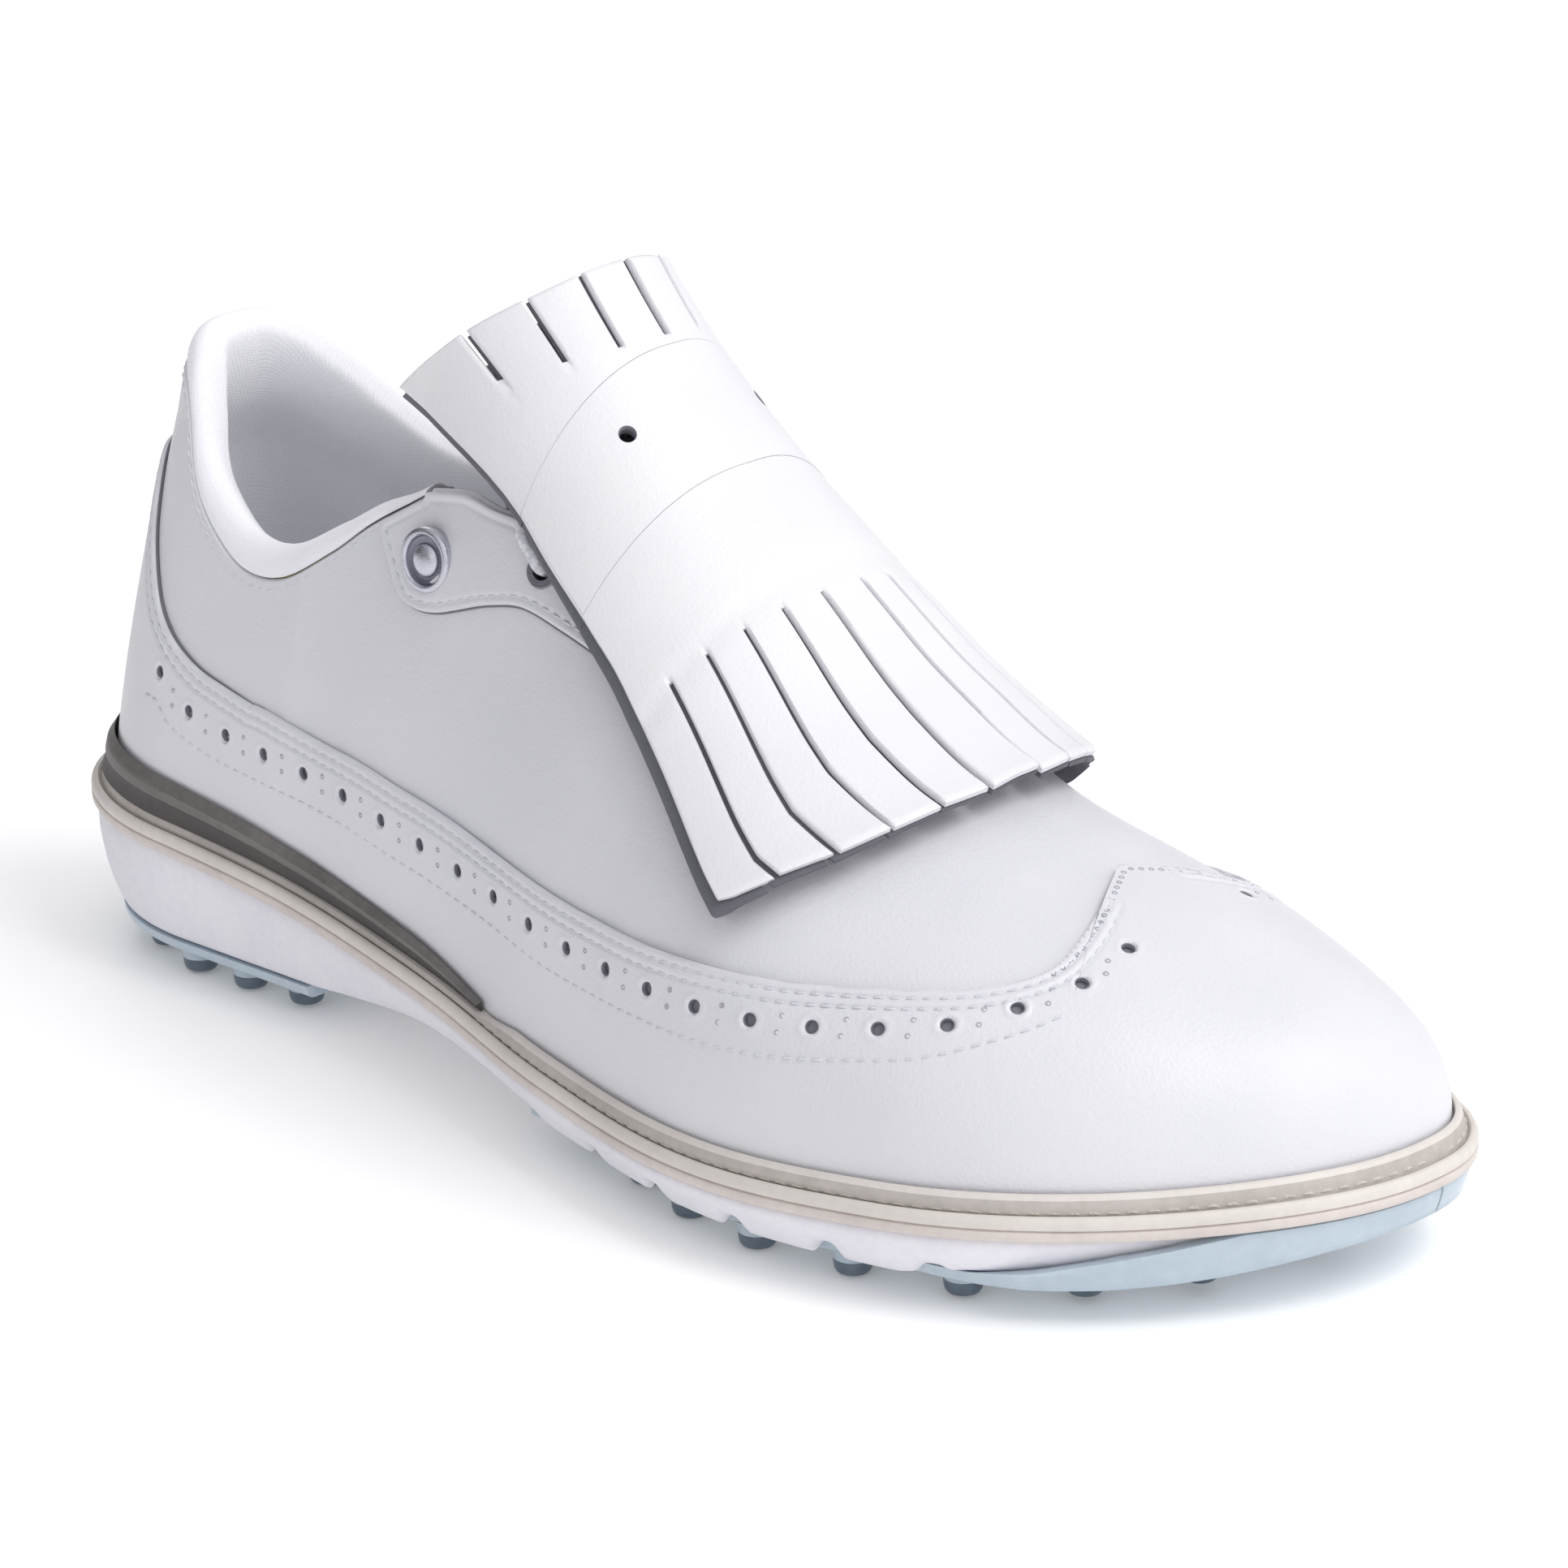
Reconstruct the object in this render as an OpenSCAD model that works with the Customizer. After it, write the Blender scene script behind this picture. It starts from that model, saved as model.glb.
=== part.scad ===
// Right golf shoe with a fringed kiltie, long wing overlays, storm welt and lugged outsole.
// Millimetres, toe toward +X, medial side toward +Y, sole down.

/* [Sizes] */
// Length of the upper where it meets the welt
upper_l = 264; // [250:1:280]
// Width factor of the whole shoe
width_factor = 1; // [0.94:0.01:1.06]
// Instep height factor of the upper
instep_factor = 1; // [0.97:0.01:1.03]

/* [Leather] */
// Thickness of the vamp and quarter leather
leather_t = 1.2; // [0.9:0.1:1.2]
// Thickness of the stitched overlays
overlay_t = 1.1; // [0.8:0.1:1.2]
// Thickness of the lining
lining_t = 0.8; // [0.5:0.1:0.9]
// Radius of the large punched holes in the wing
punch_r = 1.1; // [0.8:0.1:1.3]
// Spacing of the large punched holes
punch_pitch = 11; // [10:0.5:14]

/* [Kiltie] */
// Number of strips in the front fringe
fringe_n = 11; // [7:2:13]
// Number of strips in the top fringe
top_fringe_n = 8; // [6:2:10]
// Width of the cut between strips, as a share of a strip
cut_share = 0.12; // [0.08:0.01:0.2]
// Thickness of the white face layer
face_t = 1.2; // [0.8:0.1:1.3]
// Thickness of the grey backing layer
backing_t = 0.8; // [0.5:0.1:0.9]

/* [Lacing] */
// Radius of the round lace
lace_r = 1.1; // [1:0.1:1.1]
// Inner radius of an eyelet
eyelet_r = 1.8; // [1.7:0.1:1.9]

/* [Sole] */
// Height of the lugs
lug_h = 4.5; // [4:0.5:5]
// Radius of a lug at its tip
lug_tip_r = 2.2; // [2:0.2:2.6]
// Radius of a lug at its root
lug_root_r = 3.6; // [3.2:0.1:4]
// Thickness of the outsole plate
plate_t = 2.2; // [1.5:0.1:2.4]
// Thickness of the footbed
footbed_t = 4.5; // [3:0.5:5]

/* [Hidden] */

$fn = 24;
small_fn = 14;
heel_x = 9;
toe_x = 273;
plan_l = toe_x - heel_x;
length_factor = upper_l / plan_l;
// Plan centre of the finished shoe, taken to the frame origin
centre_x = 140.75;
centre_y = -7.565;

// Plan half widths, centre line, feather height and instep ridge along the length
lateral_w = [[0, 25], [45, 26], [80, 28], [115, 34], [150, 43.5], [185, 51], [220, 50], [248, 44],
    [273, 35]];
medial_w = [[0, 25], [45, 26], [80, 26], [115, 27], [150, 31], [185, 36.5], [220, 36], [248, 31],
    [273, 25]];
centre_line = [[0, 0], [60, 0], [120, 0], [190, -1], [220, 1], [248, 4], [273, 9]];
feather_z = [[0, 33.5], [58, 29], [105, 23], [142, 19], [188, 18], [234, 20], [278, 22]];
ridge_z = [[0, 195], [58, 190], [86, 168], [105, 142], [123, 120], [142, 101.5], [160, 86.5],
    [179, 71.5], [197, 60.5], [216, 54], [234, 49.5], [253, 45], [273, 42]];
ridge_x = [[6, 44], [50, 56], [95, 96], [190, 188], [235, 219], [273, 232]];
lean_heel = [[30, 0], [48, -3.5], [68, -7.6], [88, -11.2], [104, -14.6], [124, -19]];
lean_side = [[20, 0], [42, 2], [62, 0.5], [78, -2.5], [98, -7]];
heel_round = 30;
heel_power = 2.2;
toe_round = 56;
toe_power = 2.3;
section_power = 2.35;

// Offsets of the layers from the foot surface
stiffener_in = 1.05;
stiffener_out = 1.75;
leather_in = 2;
leather_out = leather_in + leather_t;
overlay_in = leather_out + 0.25;
overlay_out = overlay_in + overlay_t;
cord_top = overlay_out + 2;
cord_under = 0.6;
backing_in = 8.1;
backing_out = backing_in + backing_t;
face_in = backing_out + 0.25;
face_out = face_in + face_t;

// Stations along the length shared by every layer
stations = [9, 9.7, 11.5, 14.5, 18.5, 23, 28, 31, 34, 38, 44, 52, 61, 71, 80, 88, 97, 107, 117, 127,
    138, 150, 160, 169, 178, 188, 198, 208, 218, 226, 234, 240, 246, 252, 258, 263, 267, 270, 272,
    273];
function between(a, b) = [for (x = stations) if (x >= a && x <= b) x];
function reversed(l) = [for (i = [len(l) - 1:-1:0]) l[i]];
function flat(l) = [for (a = l) for (b = a) b];
function clamp(v, a, b) = max(a, min(b, v));

function part_of(t, x, i = 0) = (i >= len(t) - 2 || x <= t[i + 1][0]) ? i : part_of(t, x, i + 1);
function slope_at(t, i) = let (a = max(i - 1, 0), b = min(i + 1, len(t) - 1))
    (t[b][1] - t[a][1]) / (t[b][0] - t[a][0]);
function curve(t, x0) = let (
    x = clamp(x0, t[0][0], t[len(t) - 1][0]),
    i = part_of(t, x),
    h = t[i + 1][0] - t[i][0],
    s = (x - t[i][0]) / h)
    (2 * s * s * s - 3 * s * s + 1) * t[i][1] + (s * s * s - 2 * s * s + s) * h * slope_at(t, i)
    + (3 * s * s - 2 * s * s * s) * t[i + 1][1] + (s * s * s - s * s) * h * slope_at(t, i + 1);

// Plan outline. A place is a side (-1 lateral, 1 medial) and a share of the length from 0 to 1.
function share(x) = acos(clamp(1 - 2 * (x - heel_x) / plan_l, -1, 1)) / 180;
function x_of(u) = heel_x + plan_l / 2 * (1 - cos(180 * u));
function blunt(x) = let (
    a = clamp(1 - (x - heel_x) / heel_round, 0, 1),
    b = clamp((x - toe_x + toe_round) / toe_round, 0, 1))
    pow(1 - pow(a, heel_power), 1 / heel_power) * pow(1 - pow(b, toe_power), 1 / toe_power);
function outline(side, u) = let (x = x_of(u))
    [x, curve(centre_line, x) + side * width_factor * blunt(x)
        * curve(side < 0 ? lateral_w : medial_w, x)];
function out_dir(side, u) = u < 0.0001 ? [-1, 0] : u > 0.9999 ? [1, 0] : let (
    a = outline(side, max(u - 0.001, 0)),
    b = outline(side, min(u + 0.001, 1)),
    d = b - a)
    [d[1], -d[0]] * -side / norm(d);
function sole_pt(side, u, off, z) = let (p = outline(side, u) + out_dir(side, u) * off)
    [(p[0] - centre_x) * length_factor, p[1] - centre_y, z];

// Foot surface. s runs from 0 at the feather to 1 at the instep ridge.
function ridge_pt(x) = let (r = curve(ridge_x, x)) [r, curve(centre_line, r)];
function rise(x) = instep_factor * curve(ridge_z, x);
function skin(side, u, s, off) = let (
    b = outline(side, u),
    n = out_dir(side, u),
    r = ridge_pt(b[0]),
    o = pow(max(1 - pow(s, section_power), 0), 1 / section_power),
    q = b + (r - b) * (1 - o),
    z0 = curve(feather_z, b[0]),
    z = z0 + (rise(q[0]) - z0) * s,
    hx = clamp(1 - b[0] / 70, 0, 1),
    k = o * (hx * curve(lean_heel, z)
        + (1 - hx) * curve(lean_side, z) * clamp((160 - b[0]) / 60, 0, 1)),
    ow = pow(o, section_power - 1) / max(norm(r - b), 1),
    sw = pow(s, section_power - 1) / (rise(q[0]) - z0),
    hs = (rise(q[0] + 1) - rise(q[0] - 1)) / 2,
    m = [n[0] * ow - hs * sw, n[1] * ow, sw],
    d = m / norm(m))
    [(q[0] + n[0] * k - centre_x) * length_factor, q[1] + n[1] * k - centre_y, z] + d * off;
function skin_dir(side, u, s) = skin(side, u, s, 1) - skin(side, u, s, 0);
function s_step(side, u, z, s, n) = n == 0 ? s : let (
    b = outline(side, u),
    r = ridge_pt(b[0]),
    o = pow(max(1 - pow(s, section_power), 0), 1 / section_power),
    z0 = curve(feather_z, b[0]))
    s_step(side, u, z, clamp((z - z0) / (rise(b[0] + (r[0] - b[0]) * (1 - o)) - z0), 0, 1), n - 1);
function s_for(side, u, z) = s_step(side, u, z, 0.3, 5);
// Even steps round the section
function turn(s) = asin(pow(s, section_power / 2)) / 90;
function unturn(v) = pow(sin(90 * v), 2 / section_power);
function s_between(a, b, f) = f >= 1 ? b : f <= 0 ? a : unturn(turn(a) + (turn(b) - turn(a)) * f);

// Height of the collar seam, and how far the padded roll stands above it
collar_z = [[9, 107.5], [18, 106.5], [26, 103], [31, 96.5], [36, 89], [43, 82.3], [53, 77.5],
    [64, 78.2], [76, 85], [84, 91], [92, 95.8], [97, 98.5], [107, 101]];
collar_z_medial = [[9, 107.5], [18, 107.3], [28, 104.5], [36, 101.5], [44, 98], [53, 93], [62, 88.5],
    [71, 87], [80, 89], [88, 93], [97, 98.5], [107, 101]];
function collar_top(side, x) = curve(side < 0 ? collar_z : collar_z_medial, x);
roll_h = [[9, 5.5], [20, 5.5], [31, 6], [44, 5.5], [61, 5], [74, 4.5], [84, 3], [92, 1.6], [107, 1.2]];
throat_s = [[97, 0.585], [107, 0.67], [114, 0.716], [120, 0.76], [127, 0.8], [138, 0.84],
    [150, 0.87], [160, 0.895], [169, 0.915], [178, 0.94]];
function top_s(side, x) = x <= 97 ? s_for(side, share(x), collar_top(side, x)) : curve(throat_s, x);
// Upper edge of the long wing
wing_heel_z = [[9, 92], [14, 91], [18, 87], [22, 79], [26, 73], [31, 66.5], [37, 61.8], [44, 58.8],
    [52, 57.3], [61, 56]];
wing_s = [[61, 0.172], [80.5, 0.189], [97.3, 0.22], [118.9, 0.274], [131, 0.303], [143.5, 0.334],
    [154, 0.365], [167, 0.417], [180, 0.488], [201.5, 0.614], [224.6, 0.741], [233.8, 0.813],
    [238.4, 0.872], [241, 0.937], [242, 0.97], [242.4, 1]];
peak_stations = [238.4, 240.4, 241.6, 242.2, 242.4];
wing_peak_x = 242.4;
function wing_top(side, x) = x <= 61 ? s_for(side, share(x), curve(wing_heel_z, x))
    : x >= wing_peak_x ? 1 : curve(wing_s, x);
punch_s = [[34, 0.152], [38, 0.134], [48, 0.125], [58, 0.125], [70, 0.134], [94, 0.162],
    [119, 0.207], [132, 0.233], [146, 0.257], [159, 0.293], [173, 0.347], [186, 0.407],
    [198, 0.472], [210, 0.539], [223, 0.621], [233.5, 0.727], [243.5, 0.845], [251.4, 0.951]];
punch_end_x = 254;
middle_punch_x = 256.7;

// Faces, clockwise seen from outside
function tri_pair(a, b, c, d) = [for (f = [[a, c, b], [a, d, c]])
    if (f[0] != f[1] && f[1] != f[2] && f[2] != f[0]) f];

// A strip of closed sections, capped at both ends or joined into a ring
module loft(sections, ring = false) {
    k = len(sections);
    m = len(sections[0]);
    strips = ring ? k : k - 1;
    half = floor(m / 2);
    walls = flat([for (i = [0:strips - 1]) for (j = [0:m - 1]) let (
        i2 = (i + 1) % k,
        j2 = (j + 1) % m)
        tri_pair(i * m + j, i2 * m + j, i2 * m + j2, i * m + j2)]);
    caps = ring ? [] : flat([for (e = [0, 1]) for (j = [0:half - 2]) let (
        a = e * (k - 1) * m,
        c = [a + j, a + j + 1, a + m - 2 - j, a + m - 1 - j])
        e == 0 ? tri_pair(c[0], c[1], c[2], c[3]) : tri_pair(c[3], c[2], c[1], c[0])]);
    polyhedron(points = flat(sections), faces = concat(walls, caps), convexity = 8);
}

// One layer of the upper on one side, from seam line lo to seam line hi
module side_sheet(side, xs, lo, hi, n, a, b) {
    ordered = side < 0 ? xs : reversed(xs);
    loft([for (x = ordered) let (u = share(x), l = lo(side, x), h = hi(side, x)) concat(
        [for (j = [0:n]) skin(side, u, s_between(l, h, j / n), b)],
        [for (j = [n:-1:0]) skin(side, u, s_between(l, h, j / n), a)])]);
}

// One layer round the toe from station x0 on the lateral side to x0 on the medial side. Where hi
// is 1 both sides meet along the ridge.
module toe_sheet(xs, lo, hi, n, a, b) {
    m = len(xs);
    k = 2 * m - 1;
    sides = [for (i = [0:k - 1]) i < m ? -1 : 1];
    place = [for (i = [0:k - 1]) i < m ? xs[i] : xs[k - 1 - i]];
    top = [for (i = [0:k - 1]) hi(sides[i], place[i])];
    function id(l, i, j) = (l * k + ((j == n && i >= m && top[i] == 1) ? k - 1 - i : i)) * (n + 1) + j;
    pts = flat([for (off = [b, a]) for (i = [0:k - 1]) [for (j = [0:n])
        skin(sides[i], share(place[i]), s_between(lo(sides[i], place[i]), top[i], j / n), off)]]);
    cells = flat([for (i = [0:k - 2]) for (j = [0:n - 1]) concat(
        tri_pair(id(0, i, j), id(0, i + 1, j), id(0, i + 1, j + 1), id(0, i, j + 1)),
        tri_pair(id(1, i, j + 1), id(1, i + 1, j + 1), id(1, i + 1, j), id(1, i, j)))]);
    foot = flat([for (i = [0:k - 2])
        tri_pair(id(1, i, 0), id(1, i + 1, 0), id(0, i + 1, 0), id(0, i, 0))]);
    crest = flat([for (i = [0:k - 2]) if (!(top[i] == 1 && top[i + 1] == 1))
        tri_pair(id(0, i, n), id(0, i + 1, n), id(1, i + 1, n), id(1, i, n))]);
    ends = flat([for (j = [0:n - 1]) concat(
        tri_pair(id(0, 0, j), id(0, 0, j + 1), id(1, 0, j + 1), id(1, 0, j)),
        tri_pair(id(1, k - 1, j), id(1, k - 1, j + 1), id(0, k - 1, j + 1), id(0, k - 1, j)))]);
    polyhedron(points = pts, faces = concat(cells, foot, crest, ends), convexity = 8);
}

// A solid sole layer. levels gives [offset, height] from bottom to top for a side and station.
module sole_slab(xs, levels) {
    m = len(xs);
    h = len(levels(-1, xs[0]));
    function id(l, i, side) = (l * m + i) * 2
        + ((side > 0 && xs[i] > heel_x && xs[i] < toe_x) ? 1 : 0);
    pts = flat([for (l = [0:h - 1]) for (i = [0:m - 1]) [for (side = [-1, 1]) let (
        v = levels(side, xs[i])[l])
        sole_pt(side, share(xs[i]), v[0], v[1])]]);
    walls = flat([for (l = [0:h - 2]) for (i = [0:m - 2]) concat(
        tri_pair(id(l, i, -1), id(l, i + 1, -1), id(l + 1, i + 1, -1), id(l + 1, i, -1)),
        tri_pair(id(l + 1, i, 1), id(l + 1, i + 1, 1), id(l, i + 1, 1), id(l, i, 1)))]);
    floors = flat([for (i = [0:m - 2]) concat(
        tri_pair(id(0, i, 1), id(0, i + 1, 1), id(0, i + 1, -1), id(0, i, -1)),
        tri_pair(id(h - 1, i, -1), id(h - 1, i + 1, -1), id(h - 1, i + 1, 1), id(h - 1, i, 1)))]);
    ends = flat([for (l = [0:h - 2]) concat(
        xs[0] > heel_x ? tri_pair(id(l, 0, -1), id(l + 1, 0, -1), id(l + 1, 0, 1), id(l, 0, 1)) : [],
        xs[m - 1] < toe_x
            ? tri_pair(id(l, m - 1, 1), id(l + 1, m - 1, 1), id(l + 1, m - 1, -1), id(l, m - 1, -1))
            : [])]);
    polyhedron(points = pts, faces = concat(walls, floors, ends), convexity = 8);
}

// A leaf across the instep: grid[i][j] is [side, share, s], keep(i, j) says which cells exist
module leaf(grid, keep, a, b) {
    k = len(grid);
    n = len(grid[0]);
    function id(l, i, j) = (l * k + i) * n + j;
    function there(i, j) = i >= 0 && j >= 0 && i < k - 1 && j < n - 1 && keep(i, j);
    pts = flat([for (l = [0, 1]) for (i = [0:k - 1]) [for (j = [0:n - 1]) let (g = grid[i][j])
        skin(g[0], g[1], g[2], l == 0 ? b(i, j) : a(i, j))]]);
    cells = flat([for (i = [0:k - 2]) for (j = [0:n - 2]) if (there(i, j)) concat(
        tri_pair(id(0, i, j), id(0, i + 1, j), id(0, i + 1, j + 1), id(0, i, j + 1)),
        tri_pair(id(1, i, j + 1), id(1, i + 1, j + 1), id(1, i + 1, j), id(1, i, j)),
        there(i, j - 1) ? [] : tri_pair(id(1, i, j), id(1, i + 1, j), id(0, i + 1, j), id(0, i, j)),
        there(i, j + 1) ? []
            : tri_pair(id(0, i, j + 1), id(0, i + 1, j + 1), id(1, i + 1, j + 1), id(1, i, j + 1)),
        there(i - 1, j) ? [] : tri_pair(id(0, i, j), id(0, i, j + 1), id(1, i, j + 1), id(1, i, j)),
        there(i + 1, j) ? []
            : tri_pair(id(1, i + 1, j), id(1, i + 1, j + 1), id(0, i + 1, j + 1), id(0, i + 1, j)))]);
    polyhedron(points = pts, faces = cells, convexity = 8);
}

// Turns +Z onto a direction at a point
module at(p, d) {
    translate(p) rotate([0, acos(d[2] / norm(d)), atan2(d[1], d[0])]) children();
}

// ---- sole ----
ledge = [[9, 9.5], [25, 8.5], [60, 8], [130, 7.6], [240, 8], [273, 9]];
bottom_z = [[9, 7], [70, 7], [82, 8], [104, 9.8], [126, 8.4], [140, 7], [235, 7], [258, 9],
    [273, 12.5]];
welt_h = 5.6;
welt_in = -5;
// Raised inner rim of the welt, forward of the heel strip
rim_h = 1.6;
rim_start = 128;
rim_in = overlay_out + 0.5;
function welt_top(x) = curve(feather_z, x) - 0.3;
function welt_under(x) = welt_top(x) - welt_h;
function toe_wrap(x) = clamp((x - 232) / 30, 0, 1);

function midsole_levels(side, x) = let (
    z = curve(bottom_z, x),
    w = welt_under(x) - 0.15,
    e = curve(ledge, x) - 1.2 - 2.6 * toe_wrap(x))
    [[-7, z], [e - 4.2, z + 0.1], [e - 1.6, z + (w - z) * 0.3], [e, z + (w - z) * 0.75], [e, w],
        [welt_in - 0.3, w], [welt_in - 0.3, welt_top(x)]];
shank_x = [80, 88, 97, 107, 117, 127, 138];
module midsole() {
    color("white") difference() {
        sole_slab(stations, function (side, x) midsole_levels(side, x));
        shank_space(0.3);
    }
}
shank_w = 9;
shank_t = 1.6;
module shank_space(gap) {
    first = shank_x[0] - gap;
    last = shank_x[len(shank_x) - 1] + gap;
    xs = gap > 0 ? concat([first], shank_x, [last]) : shank_x;
    translate([0, -centre_y, 0]) loft([for (x = xs) let (
        q = (x - centre_x) * length_factor,
        z = welt_top(x),
        w = shank_w + gap)
        [[q, -w, z - shank_t - 0.4 - gap], [q, -w, z - 0.4 + gap * 4],
            [q, w, z - 0.4 + gap * 4], [q, w, z - shank_t - 0.4 - gap]]]);
}
module shank() {
    color("silver") shank_space(0);
}
// The heel of the foot leans forward as it rises, and the inner layers stand back from it
function heel_step(x) = clamp((24 - x) / 12, 0, 1);
function board_levels(side, x) = let (z = welt_top(x), e = -0.4 - 0.6 * heel_step(x))
    [[e, z + 0.45], [e, z + 2.2]];
module insole_board() {
    color("tan") sole_slab(stations, function (side, x) board_levels(side, x));
}
function footbed_levels(side, x) = let (z = welt_top(x) + 2.4, e = -1.7 * heel_step(x))
    [[e - 1.2, z], [e - 0.6, z + 1], [e - 1.2, z + footbed_t - 0.6], [e - 2.4, z + footbed_t]];
module footbed() {
    color("lightgray") sole_slab(stations, function (side, x) footbed_levels(side, x));
}
ring_stations = concat([for (x = stations) [-1, x]],
    [for (i = [len(stations) - 2:-1:1]) [1, stations[i]]]);
module welt() {
    color("antiquewhite") loft([for (r = ring_stations) let (
        u = share(r[1]),
        e = curve(ledge, r[1]),
        z = welt_top(r[1]),
        up = rim_h * clamp((r[1] - rim_start) / 10, 0.02, 1))
        [for (q = [[welt_in, -welt_h], [e - 0.8, -welt_h], [e, 1 - welt_h], [e, -2.4], [e - 0.5, -1.5],
            [e - 1.3, -1.3], [e - 1.8, -1.9], [rim_in + 0.9, up * 0.6], [rim_in, up], [rim_in, 0],
            [welt_in, 0]]) sole_pt(r[0], u, q[0], z + q[1])]], ring = true);
}
rand_xs = between(9, 127);
rand_h = [[9, 8], [60, 7], [107, 4.5], [127, 1.6]];
module heel_rand() {
    color("dimgray") loft([for (r = concat([for (x = reversed(rand_xs)) [1, x]],
        [for (i = [1:len(rand_xs) - 1]) [-1, rand_xs[i]]])) let (
        u = share(r[1]),
        e = curve(ledge, r[1]),
        z = welt_top(r[1]) + 0.15,
        h = curve(rand_h, r[1]),
        i = overlay_out + 0.5)
        [skin_z(r[0], r[1], i, z), sole_pt(r[0], u, e - 2.1, z), skin_z(r[0], r[1], i + 1.3, z + h * 0.75),
            skin_z(r[0], r[1], i + 0.2, z + h)]]);
}
heel_plate_end = 71;
fore_plate_start = 138;
function midsole_edge(x) = curve(ledge, x) - 1.2 - 2.6 * toe_wrap(x);
function midsole_off(x, f) = midsole_edge(x) + (f < 0.3 ? -4.2 + 2.6 * f / 0.3 : f < 0.75
    ? -1.6 + 1.6 * (f - 0.3) / 0.45 : 0);
function heel_plate_levels(side, x) = let (
    z = curve(bottom_z, x) - 0.15,
    e = midsole_edge(x) - 3.6)
    [[e - 1.8, z - plate_t], [e - 0.2, z - plate_t + 0.8], [e, z]];
wrap_t = 2.2;
function fore_plate_levels(side, x) = let (
    z = curve(bottom_z, x) - 0.15,
    f = toe_wrap(x),
    t = 0.1 + wrap_t * clamp(f * 4, 0, 1),
    h = 0.08 + (welt_under(x) - 0.35 - z) * f,
    m = midsole_off(x, f * 0.5) + 0.45 + 0.6 * f,
    o = midsole_off(x, f) + 0.45 + 0.1 * f)
    [[m - 1.8, z - plate_t], [m + t * 0.6, z - plate_t + 0.8], [m + t, z + h * 0.5], [o + t, z + h],
        [o, z + h], [m, z + h * 0.5], [midsole_edge(x) - 4.6, z]];
module lug(x, y) {
    root = curve(bottom_z, x) - 0.15 - plate_t + 0.5;
    drop = curve(bottom_z, x) - curve(bottom_z, 200);
    translate([(x - centre_x) * length_factor, y - centre_y, max(drop, 0)])
        cylinder(h = root - max(drop, 0), r1 = lug_tip_r, r2 = lug_root_r);
}
heel_lugs = [[16, 0], [23, -19], [23, 19], [30, 0], [37, -24], [37, 24], [42, -9], [42, 9], [50, -24],
    [50, 24], [56, 0], [63, -23], [63, 23]];
module outsole_heel() {
    color("lightblue") union() {
        sole_slab(between(9, heel_plate_end), function (side, x) heel_plate_levels(side, x));
        for (p = heel_lugs) lug(p[0], p[1]);
    }
}
fore_lugs = [[148, -36], [148, -18], [148, 0], [148, 18], [162, -42], [162, -26], [162, -9], [162, 8],
    [162, 24], [176, -47], [176, -33], [176, -16], [176, 1], [176, 17], [176, 31], [192, -49],
    [192, -32], [192, -15], [192, 2], [192, 18], [192, 33], [210, -47], [210, -30], [210, -13],
    [210, 4], [210, 20], [210, 34], [228, -42], [228, -26], [228, -9], [228, 7], [228, 22],
    [228, 34], [243, -31], [243, -15], [243, 2], [243, 17], [243, 29], [255, -18], [255, -3],
    [255, 11], [255, 23], [264, 4]];
module outsole_forefoot() {
    color("lightblue") union() {
        sole_slab(between(fore_plate_start, toe_x), function (side, x) fore_plate_levels(side, x));
        for (p = fore_lugs) lug(p[0], p[1]);
    }
}

// ---- upper, inside ----
lining_join = 107;
lining_cut = 0.52;
module vamp_lining() {
    color("white") toe_sheet(concat(between(lining_join, 169), [172, 175], between(178, toe_x)),
        function (side, x) 0,
        function (side, x) clamp(lining_cut + (1 - lining_cut) * (x - 165) / 13, lining_cut, 1), 9, 0,
        lining_t);
}
function roll_path(side, x) = let (z = collar_top(side, x), r = curve(roll_h, x), b = curve(feather_z, x))
    [[0, b], [0, b + (z - 22 - b) * 0.35], [0, b + (z - 22 - b) * 0.7], [0, z - 22], [-1.2, z - 16],
        [-3, z - 10], [-4, z - 3], [-3.8, z + r * 0.5], [-2.2, z + r * 0.9], [0, z + r + 0.6],
        [2, z + r * 0.85 + 0.4], [3, z + r * 0.4 + 0.4], [3, z + 0.35]];
function path_normal(p, i) = let (a = p[max(i - 1, 0)], b = p[min(i + 1, len(p) - 1)], d = b - a)
    [d[1], -d[0]] / norm(d);
function skin_z(side, x, off, z) = let (u = share(x)) skin(side, u, s_for(side, u, z), off);
heel_wrap = concat([for (x = reversed(between(9, 97))) [1, x]],
    [for (x = between(9.1, 97)) [-1, x]]);
module collar_lining() {
    color("white") loft([for (r = concat([[1, 106.6]], heel_wrap, [[-1, 106.6]])) let (
        p = roll_path(r[0], r[1]),
        n = len(p))
        concat([for (i = [0:n - 1]) let (q = p[i] + path_normal(p, i) * lining_t)
            skin_z(r[0], r[1], q[0], max(q[1], curve(feather_z, r[1])))],
            [for (i = [n - 1:-1:0]) skin_z(r[0], r[1], p[i][0], p[i][1])])]);
}
pad_end = 84;
module collar_pad() {
    color("khaki") loft([for (r = heel_wrap) if (r[1] <= pad_end) let (
        z = collar_top(r[0], r[1]),
        h = curve(roll_h, r[1]))
        [for (q = [[1.6, z - 14], [1.7, z - 4], [1.9, z + h * 0.35], [1.1, z + h * 0.7],
            [0, z + h - 0.9], [-1.3, z + h * 0.7], [-2.8, z + h * 0.4], [-3, z - 3], [-2, z - 9],
            [0.4, z - 13.9]]) skin_z(r[0], r[1], q[0], q[1])]]);
}
counter_wrap = concat([for (x = reversed(between(9, 80))) [1, x]],
    [for (x = between(9.1, 80)) [-1, x]]);
counter_low = 3;
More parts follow.
